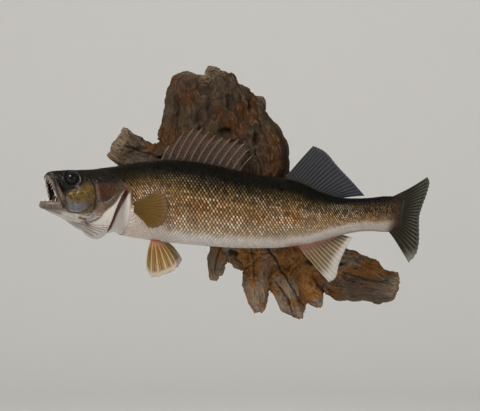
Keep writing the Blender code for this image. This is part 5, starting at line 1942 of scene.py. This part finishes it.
def limb_rings(share, stations):
    """Oval rings along a limb, in the plane of the wall, thinner from front to back."""
    rows = np.array(stations, float)
    points = rows[:, (0, 2, 1)] * MM
    run = np.stack([points[min(i + 1, len(points) - 1)] - points[max(i - 1, 0)] for i in range(len(points))])
    run[:, 1] = 0
    across = np.cross(unit(run), (0, 1, 0))
    radius = rows[:, 3][:, None, None] * MM
    a = turns(WOOD_SIDES)[None, :, None]
    return (
        points[:, None]
        + across[:, None] * radius * np.cos(a)
        + np.array((0, 1, 0)) * radius * share * np.sin(a)
    )


def grain_frame(points):
    """Each point's place in the grain of the limbs near it: along the pith and off it, with the run
    of the grain, how near the end of the wood the point is, and which limb it belongs to."""
    total, along, end, shift = np.zeros((4, len(points)))
    spin, run = np.zeros((len(points), 2)), np.zeros((len(points), 3))
    for number, (share, stations) in enumerate(LIMBS.values()):
        rows = resampled(stations, 4 * len(stations))
        line, radius = rows[:, (0, 2, 1)] * MM, rows[:, 3] * MM
        reach = reach_along(line)
        best = np.full(len(points), np.inf)
        found = np.zeros((len(points), 6))
        for k in range(len(line) - 1):
            step = line[k + 1] - line[k]
            t = np.clip((points - line[k]) @ step / (step @ step), 0, 1)
            off = points - line[k] - t[:, None] * step
            size = mix(radius[k], radius[k + 1], t)
            score = np.sqrt(off[:, 0] ** 2 + off[:, 2] ** 2 + (off[:, 1] / share) ** 2) / size
            nearer = score < best
            best = np.where(nearer, score, best)
            heading = unit(step)
            side = off @ np.cross(heading, (0, 1, 0))
            row = np.column_stack(
                [mix(reach[k], reach[k + 1], t), side, off[:, 1] / share]
                + [np.full(len(points), x) for x in heading]
            )
            found = np.where(nearer[:, None], row, found)
        weight = np.exp(-np.maximum(best - 0.75, 0) * 7) + 1e-9
        total += weight
        along += weight * found[:, 0]
        spin += weight[:, None] * found[:, 1:3]
        run += weight[:, None] * found[:, 3:]
        end += weight * ease(found[:, 0], 26 * MM, 4 * MM)
        shift += weight * number
    return along / total, spin / total[:, None], run / total[:, None], end / total, shift / total


def wood_mesh(settings):
    """The panel: blended limbs, then lumps, grain, splits, knots and hollows, sawn flat at the wall."""
    lofts = [limb_rings(share, resampled(stations, 5 * len(stations))) for share, stations in LIMBS.values()]
    wood = add_object("wood_blend", loft_mesh("wood_blend", *lofts))
    lumps = bpy.data.textures.new("driftwood_lumps", "CLOUDS")
    lumps.noise_scale = 0.028
    lumps.noise_depth = 1
    modify(wood, "REMESH", mode="VOXEL", voxel_size=settings.voxel)
    modify(wood, "SMOOTH", factor=0.5, iterations=8)
    modify(wood, "DISPLACE", texture=lumps, strength=settings.lumps, mid_level=0.5, texture_coords="GLOBAL")
    mesh = settle(wood, "driftwood_shown")
    points, normals = coordinates(mesh), normals_of(mesh)
    along, spin, run, end, shift = grain_frame(points)
    x, y, z = points.T / MM
    fibre = np.column_stack([spin / MM, along / MM])
    coarse = layered_noise(fibre / (9, 9, 70) + shift[:, None], 11, 2)
    fine = layered_noise(fibre / (3.4, 3.4, 34) + shift[:, None], 23, 2)
    wavy = lattice_noise(points / (34 * MM), 31)
    ridge = 1 - np.abs(np.clip(coarse + 0.25 * wavy, -1, 1)) * 2
    split = ease(np.abs(lattice_noise(fibre / (6.5, 6.5, 62) + 7, 41)), 0.10, 0.0)
    split *= ease(wavy, -0.3, 0.3)
    height = settings.grain / MM * (0.60 * ridge + 0.42 * fine) - 2.0 * split
    # painted shade: the splits, crags, hollows, cracks and knot holes are darkened in the wood's colour
    cavity = 0.9 * split
    front = ease(-normals[:, 1], -0.1, 0.35)
    # crags: the wood is weathered back in steps between harder ribs
    rough = layered_noise(fibre / (13, 13, 60) + shift[:, None], 91, 2)
    height += 2.4 * (ease(rough, -0.45, -0.05) + ease(rough, 0.15, 0.55) - 1.0)
    cavity += 0.35 * ease(rough, -0.35, -0.75)
    for cx, cz, rx, rz, deep in HOLLOWS:
        wobble = 1 + 0.28 * lattice_noise(points / (7 * MM), 5)
        inside = ease(np.hypot((x - cx) / rx, (z - cz) / rz) * wobble, 1.25, 0.45) * front
        height -= deep * inside
        cavity += inside
    for path, half, deep in CRACKS:
        wander = 2.2 * lattice_noise(points / (16 * MM), 61)
        far = np.abs(path_distance(x + wander, z + wander, path)[1])
        start = np.minimum(*(np.hypot(x - end_x, z - end_z) for end_x, end_z in (path[0], path[-1])))
        inside = ease(far, half * 1.7, half * 0.3) * front
        height -= deep * 0.6 * inside * ease(start, -4, 14)
        cavity += inside
    swirl = np.zeros(len(points))
    for cx, cz, rx, rz in KNOTS:
        far = np.hypot((x - cx) / rx, (z - cz) / rz)
        near = ease(far, 1.9, 0.9) * front
        rings = np.sin(far * 10 + 1.2 * lattice_noise(points / (5 * MM), 71))
        bulge = 1.9 * ease(far, 1.5, 0.75) - 3.2 * ease(far, 0.42, 0.2)
        height = mix(height, bulge + rings, near)
        ridge = mix(ridge, rings, near)
        hole = ease(far, 0.5, 0.25) + 0.35 * ease(np.abs(far - 1.25), 0.2, 0.05)
        cavity = mix(cavity, hole, near)
        swirl = np.maximum(swirl, near)
    height *= ease(y, 1, -5)  # the side against the wall is sawn flat
    moved = points + normals * (height * MM)[:, None]
    # splinters at the ends reach on along the grain, the gaps between them draw back
    pull = end * (layered_noise(fibre / (4.2, 4.2, 400) + 13, 51, 2)) * 4.5 * MM
    pull = np.where((shift > TORN_FROM) & (shift < TORN_TO), pull, pull * 0.15)
    moved -= run * pull[:, None]
    moved[:, 1] = np.minimum(moved[:, 1], 0)
    set_coordinates(mesh, moved)
    ruddy = sum(np.exp(-(((x - cx) / rx) ** 2) - ((z - cz) / rz) ** 2) for cx, cz, rx, rz in BARE_PATCHES)
    store(
        mesh,
        fibre=fibre * MM,
        shift=shift,
        cavity=np.clip(cavity, 0, 1),
        ruddy=np.clip(ruddy, 0, 1),
        branch=ease(shift, *BRANCH_LIMB) * ease(z, -134, -146),
        ridge=np.clip(0.5 + 0.5 * ridge * 0.6 + 0.3 * fine, 0, 1),
        worn=np.clip(0.5 + 0.5 * layered_noise(points / (38 * MM), 81, 3), 0, 1),
        swirl=swirl,
        cut_end=np.clip(end, 0, 1),
        # lower marks the lower wood, which the material leaves out of the painted shade on the upper wood
        lower=ease(z, 10, -60),
        arm=ease(x, -122, -150),
    )
    return mesh


def clear_of_fish(mesh):
    """Draws the wood back behind the flank that lies against it."""
    body = loft_mesh(
        "flank", place(section(np.arange(SCALED_FRONT, 322, 3)[:, None] * MM, turns(72)[None], 0.5 * MM))
    )
    triangles = [tuple(f.vertices) for f in body.polygons]
    tree = BVHTree.FromPolygons([v.co for v in body.vertices], triangles)
    points = coordinates(mesh)
    ahead = Vector((0, -1, 0))
    near = (points[:, 1] < -40 * MM) & (points[:, 2] < 90 * MM) & (points[:, 2] > -110 * MM)
    for k in np.nonzero(near)[0]:
        x, y, z = points[k]
        hit = tree.ray_cast(Vector((x, 0.05, z)), ahead)[0]
        if hit and hit.y > y:
            points[k, 1] = hit.y
    set_coordinates(mesh, points)
    bpy.data.meshes.remove(body)


# The keyhole plate's pocket in the sawn face, and the well behind its hole for the screw's head.
HANGER_X, HANGER_Z = -8 * MM, 96 * MM
POCKET = (18.6 * MM, 44.6 * MM, 4 * MM)  # width, height and corner
POCKET_DEPTH, WELL_RADIUS, WELL_DEPTH, WELL_RISE = 2.7 * MM, 7 * MM, 11 * MM, 4.5 * MM


def prism(name, outline, low_y, high_y):
    rings = [[(x, y, z) for x, z in outline] for y in (low_y, high_y)]
    return add_object(name, loft_mesh(name, np.array(rings)))


def cut_hanger_pocket(mesh):
    wide, high, corner = POCKET
    outline = []
    for cx, cz, start in ((1, 1, 0), (-1, 1, 90), (-1, -1, 180), (1, -1, 270)):
        for k in range(5):
            a = math.radians(start + 22.5 * k)
            x = cx * (wide / 2 - corner) + corner * math.cos(a)
            z = cz * (high / 2 - corner) + corner * math.sin(a)
            outline.append((HANGER_X + x, HANGER_Z + z))
    well = [
        (HANGER_X + WELL_RADIUS * math.cos(a), HANGER_Z + WELL_RISE + WELL_RADIUS * math.sin(a))
        for a in turns(32)
    ]
    cutters = [prism("pocket", outline, -POCKET_DEPTH, 5 * MM), prism("well", well, -WELL_DEPTH, 5 * MM)]
    wood = add_object("driftwood_cut", mesh)
    for cutter in cutters:
        modify(wood, "BOOLEAN", operation="DIFFERENCE", object=cutter)
    mesh = settle(wood, "driftwood_shown")
    for cutter in cutters:
        bpy.data.objects.remove(cutter)
    return mesh


def wood_group():
    """Streaks along the grain, from a broad one for colour to the finest, for height."""
    inputs = {"Fibre": "Vector", "Body": "Vector"}
    outputs = dict.fromkeys(("Broad", "Strand", "Narrow", "Hair"), "Float")
    tree, nodes, given, out = new_tree("wood_grain", "ShaderNodeTree", inputs, outputs)
    broad = nodes.noise(nodes.stretch(given["Fibre"], (150, 150, 16)), 1.0, 4.0, 0.6, 0.6)
    strand = nodes.noise(nodes.stretch(given["Fibre"], (300, 300, 13)), 1.0, 2.0, 0.55, 0.5)
    narrow = nodes.noise(nodes.stretch(given["Fibre"], (620, 620, 40)), 1.0, 3.0, 0.6, 0.4)
    hair = nodes.noise(nodes.stretch(given["Fibre"], (1700, 1700, 90)), 1.0, 2.0, 0.6)
    speck = nodes.noise(given["Body"], 900.0, 2.0)
    nodes.give(out["Broad"], broad)
    nodes.give(out["Strand"], strand)
    nodes.give(out["Narrow"], narrow)
    nodes.give(out["Hair"], hair + speck * 0.25)
    return tree


def wood_material(wood):
    made, nodes = new_material("driftwood_weathered")
    where = nodes.out("ShaderNodeTexCoord", output="Object")
    grain = nodes.group(wood_group(), {"Fibre": nodes.vector("fibre"), "Body": where})
    broad, strand, narrow, hair = (grain[name] for name in ("Broad", "Strand", "Narrow", "Hair"))
    bare = nodes.attribute("worn") * 0.62 + broad * 0.55 + nodes.attribute("lower") * 0.06
    bare = bare + nodes.attribute("ruddy") * 0.26 - nodes.attribute("branch") * 0.10
    colour = nodes.blend(nodes.span(bare, 0.56, 0.76), wood.grey, wood.brown)
    # painted shade: the upper wood is darkened to about a quarter of its colour, as a fall-off of light, and
    # the left arm a little less; the lower wood keeps its colour
    upper = nodes.tint(1.0, colour, (0.26, 0.215, 0.155))
    lower = nodes.attribute("lower") + nodes.attribute("arm") * 0.25
    colour = nodes.blend(lower, upper, colour)
    colour = nodes.tint(nodes.attribute("branch"), colour, (0.62, 0.58, 0.55))
    pale = nodes.span(narrow, 0.5, 0.66) * nodes.span(nodes.attribute("ridge"), 0.35, 0.8)
    # the pale ridges fade on the upper wood too, part of the same painted shade
    fade = nodes.span(nodes.attribute("lower"), 0.0, 1.0, 0.22, 0.5)
    colour = nodes.blend(pale * fade, colour, (0.42, 0.33, 0.245))
    moss = nodes.span(nodes.noise(where, 26.0, 3.0, 0.6), 0.56, 0.7) * 0.42
    colour = nodes.blend(moss, colour, (0.085, 0.080, 0.055))
    dark = nodes.maths("MAXIMUM", nodes.span(narrow, 0.50, 0.36), nodes.span(strand, 0.47, 0.37))
    dark = dark * 0.66
    colour = nodes.tint(dark, colour, (0.36, 0.3, 0.25))
    # painted shade: darker where the grain lies low between its ridges
    low = nodes.span(nodes.attribute("ridge"), 0.42, 0.12) * 0.6
    colour = nodes.tint(low, colour, (0.38, 0.33, 0.28))
    red = nodes.attribute("swirl") * nodes.span(broad, 0.4, 0.65, 0.0, 0.55)
    colour = nodes.blend(red, colour, (0.10, 0.036, 0.016))
    end = nodes.attribute("cut_end") * nodes.span(narrow, 0.4, 0.6, 0.0, 0.5)
    colour = nodes.blend(end, colour, (0.52, 0.40, 0.27))
    # painted shade in the cracks, splits and hollows
    hollow = nodes.attribute("cavity") * 0.88
    colour = nodes.blend(hollow, colour, wood.deep)
    sawn = nodes.axes(where)[1]
    sawn = nodes.span(sawn, -0.9 * MM, -0.3 * MM)
    fresh = nodes.blend(
        nodes.noise(nodes.stretch(where, (12, 12, 160)), 1.0, 3.0), (0.36, 0.23, 0.125), (0.48, 0.33, 0.19)
    )
    colour = nodes.blend(sawn, colour, fresh)
    nodes.shade(Base_Color=colour, Roughness=nodes.span(hair, 0.3, 0.7, 0.62, 0.85), Specular_IOR_Level=0.25)
    height = narrow * 1.0 + hair * 0.55
    height = height + (broad * 0.5 + strand)
    nodes.shade(Normal=nodes.bump(height, 0.85, 1.3 * MM))
    return made


# ---- stage
def lathe(name, profile, sides=96):
    """A surface turned round the Z axis from (radius, z) points."""
    a = turns(sides)
    rings = np.array([[(r * math.cos(t), r * math.sin(t), z) for t in a] for r, z in profile])
    mesh = make_mesh(name, rings.reshape(-1, 3), ring_faces(len(profile), sides))
    mesh.shade_smooth()
    return mesh


def area_light(name, where, aim, size, power, colour):
    data = bpy.data.lights.new(name, "AREA")
    data.size, data.energy, data.color = size, power, colour
    made = bpy.data.objects.new(name, data)
    bpy.context.scene.collection.objects.link(made)
    made.location = where
    made.rotation_euler = (Vector(aim) - Vector(where)).to_track_quat("-Z", "Y").to_euler()
    return made


# Name, place, aim, size, watts and colour.
STUDIO_LIGHTS = (
    ("key_light", (-1.5, -2.3, 2.1), (0, -0.1, 0), 1.1, 92, (1.0, 0.965, 0.92)),
    ("fill_light", (2.6, -2.6, 0.2), (0, -0.1, 0), 2.0, 20, (0.93, 0.96, 1.0)),
    ("wall_light", (0.0, 1.2, 2.4), (0.0, 5.6, 0.3), 2.4, 62, (1.0, 0.99, 0.97)),
)
CAMERA_X, CAMERA_Z, SENSOR_WIDTH, VIEW_END = 0.018, -0.0099, 36, 50
SKY_COLOUR, SKY_STRENGTH = (0.93, 0.96, 1.0, 1), 0.14
STAGE_FLOOR, STAGE_RADIUS, STAGE_CURVE, STAGE_TOP = -0.85, 5.6, 1.2, 3.4


def build_stage(stage):
    bend_points = [
        (STAGE_RADIUS - STAGE_CURVE * (1 - math.sin(t)), STAGE_FLOOR + STAGE_CURVE * (1 - math.cos(t)))
        for t in np.linspace(0, math.pi / 2, 16)
    ]
    profile = [
        (0.01, STAGE_FLOOR), (1.5, STAGE_FLOOR), (3.0, STAGE_FLOOR), *bend_points, (STAGE_RADIUS, STAGE_TOP)
    ]
    backdrop = add_object("studio_backdrop", lathe("studio_backdrop", profile))
    made, nodes = new_material("studio_backdrop")
    nodes.shade(Base_Color=stage.pale, Roughness=0.9)
    backdrop.data.materials.append(made)
    world = bpy.data.worlds.new("studio")
    bpy.context.scene.world = world
    world.use_nodes = True
    sky = world.node_tree.nodes["Background"].inputs
    sky[0].default_value, sky[1].default_value = SKY_COLOUR, SKY_STRENGTH
    for light in STUDIO_LIGHTS:
        area_light(*light)
    bpy.context.scene.view_settings.view_transform = "Standard"
    data = bpy.data.cameras.new("camera")
    data.lens, data.sensor_width, data.clip_end = stage.lens, SENSOR_WIDTH, VIEW_END
    camera = bpy.data.objects.new("camera", data)
    bpy.context.scene.collection.objects.link(camera)
    camera.location = (CAMERA_X, SPINE_Y - stage.distance, CAMERA_Z)
    camera.rotation_euler = (math.pi / 2, 0, 0)
    bpy.context.scene.camera = camera


# ---- operators and panel
def dressed(name, mesh, material):
    mesh.materials.clear()
    mesh.materials.append(material)
    return add_object(name, mesh)


class WALLEYE_OT_skin(bpy.types.Operator):
    """Build the one skin over head, jaw, gill covers, trunk and tail stem"""

    bl_idname = "walleye.skin"
    bl_label = "Skin"

    def execute(self, context):
        settings = context.scene.walleye.skin
        mesh = straight_skin(settings)
        carve_head(mesh)
        paint_fish(mesh)
        bend(mesh)
        mesh.shade_smooth()
        piece = dressed("fish_skin_shown", mesh, skin_material(settings))
        flesh = ["head", "lower_jaw", "gill_cover_left", "gill_cover_right", "trunk", "tail_stem"]
        finish_piece(piece, flesh)
        return {"FINISHED"}


class WALLEYE_OT_scales(bpy.types.Operator):
    """Lay the scales over both flanks"""

    bl_idname = "walleye.scales"
    bl_label = "Scales"

    def execute(self, context):
        settings = context.scene.walleye
        template = scale_template(settings.scales)
        material = scale_material(settings.skin, settings.scales)
        tree = tree_named("lying_pieces", lying_tree)
        for name, side in (("scales_left", LEFT), ("scales_right", RIGHT)):
            roots = add_object(name, scale_points(settings.scales, side))
            mesh = run_tree(roots, tree, template=template, lift=1.0, patch=BAKE_PATCH, material=material)
            finish_piece(add_object(name, mesh))
        bpy.data.objects.remove(template)
        return {"FINISHED"}


class WALLEYE_OT_fins(bpy.types.Operator):
    """Build all fins, membrane and rays"""

    bl_idname = "walleye.fins"
    bl_label = "Fins"

    def execute(self, context):
        for seed, (name, look) in enumerate(FIN_LOOKS.items()):
            build_fin(name, look, context.scene.walleye.fins, seed)
        return {"FINISHED"}


class WALLEYE_OT_eyes(bpy.types.Operator):
    """Build the glass eyes"""

    bl_idname = "walleye.eyes"
    bl_label = "Eyes"

    def execute(self, context):
        settings = context.scene.walleye.eyes
        material = eye_material(settings)
        for name, side in (("eye_left", LEFT), ("eye_right", RIGHT)):
            piece = dressed(name + "_glass", eye_mesh(name, side, settings), material)
            finish_piece(piece, [name])
        return {"FINISHED"}


class WALLEYE_OT_mouth(bpy.types.Operator):
    """Build the teeth and the tongue"""

    bl_idname = "walleye.mouth"
    bl_label = "Teeth and tongue"

    def execute(self, context):
        build_teeth("teeth_upper", UPPER_TEETH, False, 3)
        build_teeth("teeth_lower", LOWER_TEETH, True, 4)
        bpy.data.objects.remove(bpy.data.objects["tooth_template"])
        tongue = dressed("tongue_shown", tongue_mesh(), tongue_material(context.scene.walleye.skin))
        finish_piece(tongue, ["tongue"])
        return {"FINISHED"}


class WALLEYE_OT_driftwood(bpy.types.Operator):
    """Build the driftwood panel"""

    bl_idname = "walleye.driftwood"
    bl_label = "Driftwood"

    def execute(self, context):
        settings = context.scene.walleye.wood
        mesh = wood_mesh(settings)
        clear_of_fish(mesh)
        mesh = cut_hanger_pocket(mesh)
        mesh.shade_smooth()
        piece = dressed("driftwood_shown", mesh, wood_material(settings))
        finish_piece(piece, ["driftwood"])
        return {"FINISHED"}


class WALLEYE_OT_hanger(bpy.types.Operator):
    """Dress the keyhole hanger and its screws"""

    bl_idname = "walleye.hanger"
    bl_label = "Hanger"

    def execute(self, context):
        material = steel_material()
        for name in ("hanger_plate", "hanger_screw_top", "hanger_screw_bottom"):
            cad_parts[name].material_slots[0].material = material
        return {"FINISHED"}


class WALLEYE_OT_stage(bpy.types.Operator):
    """Set up backdrop, lights and camera"""

    bl_idname = "walleye.stage"
    bl_label = "Stage"

    def execute(self, context):
        build_stage(context.scene.walleye.stage)
        return {"FINISHED"}


OPERATORS = (
    WALLEYE_OT_skin,
    WALLEYE_OT_scales,
    WALLEYE_OT_fins,
    WALLEYE_OT_eyes,
    WALLEYE_OT_mouth,
    WALLEYE_OT_driftwood,
    WALLEYE_OT_hanger,
    WALLEYE_OT_stage,
)
SETTINGS = (
    SkinSettings, ScaleSettings, FinSettings, EyeSettings, WoodSettings, StageSettings, WalleyeSettings,
)


class WALLEYE_PT_panel(bpy.types.Panel):
    bl_idname = "WALLEYE_PT_panel"
    bl_label = "Mounted walleye"
    bl_space_type = "VIEW_3D"
    bl_region_type = "UI"
    bl_category = "Walleye"

    def draw(self, context):
        settings = context.scene.walleye
        for group, operator in (
            ("skin", "skin"), ("scales", "scales"), ("fins", "fins"), ("eyes", "eyes"), (None, "mouth"),
            ("wood", "driftwood"), (None, "hanger"), ("stage", "stage"),
        ):
            box = self.layout.box()
            box.operator("walleye." + operator)
            if group:
                for name in getattr(settings, group).__annotations__:
                    box.prop(getattr(settings, group), name)


def register():
    for kind in (*SETTINGS, *OPERATORS, WALLEYE_PT_panel):
        bpy.utils.register_class(kind)
    bpy.types.Scene.walleye = PointerProperty(type=WalleyeSettings)


def unregister():
    del bpy.types.Scene.walleye
    for kind in reversed((*SETTINGS, *OPERATORS, WALLEYE_PT_panel)):
        bpy.utils.unregister_class(kind)


def main():
    register()
    bpy.ops.walleye.skin()
    bpy.ops.walleye.scales()
    bpy.ops.walleye.fins()
    bpy.ops.walleye.eyes()
    bpy.ops.walleye.mouth()
    bpy.ops.walleye.driftwood()
    bpy.ops.walleye.hanger()
    bpy.ops.walleye.stage()


if __name__ == "__main__":
    main()
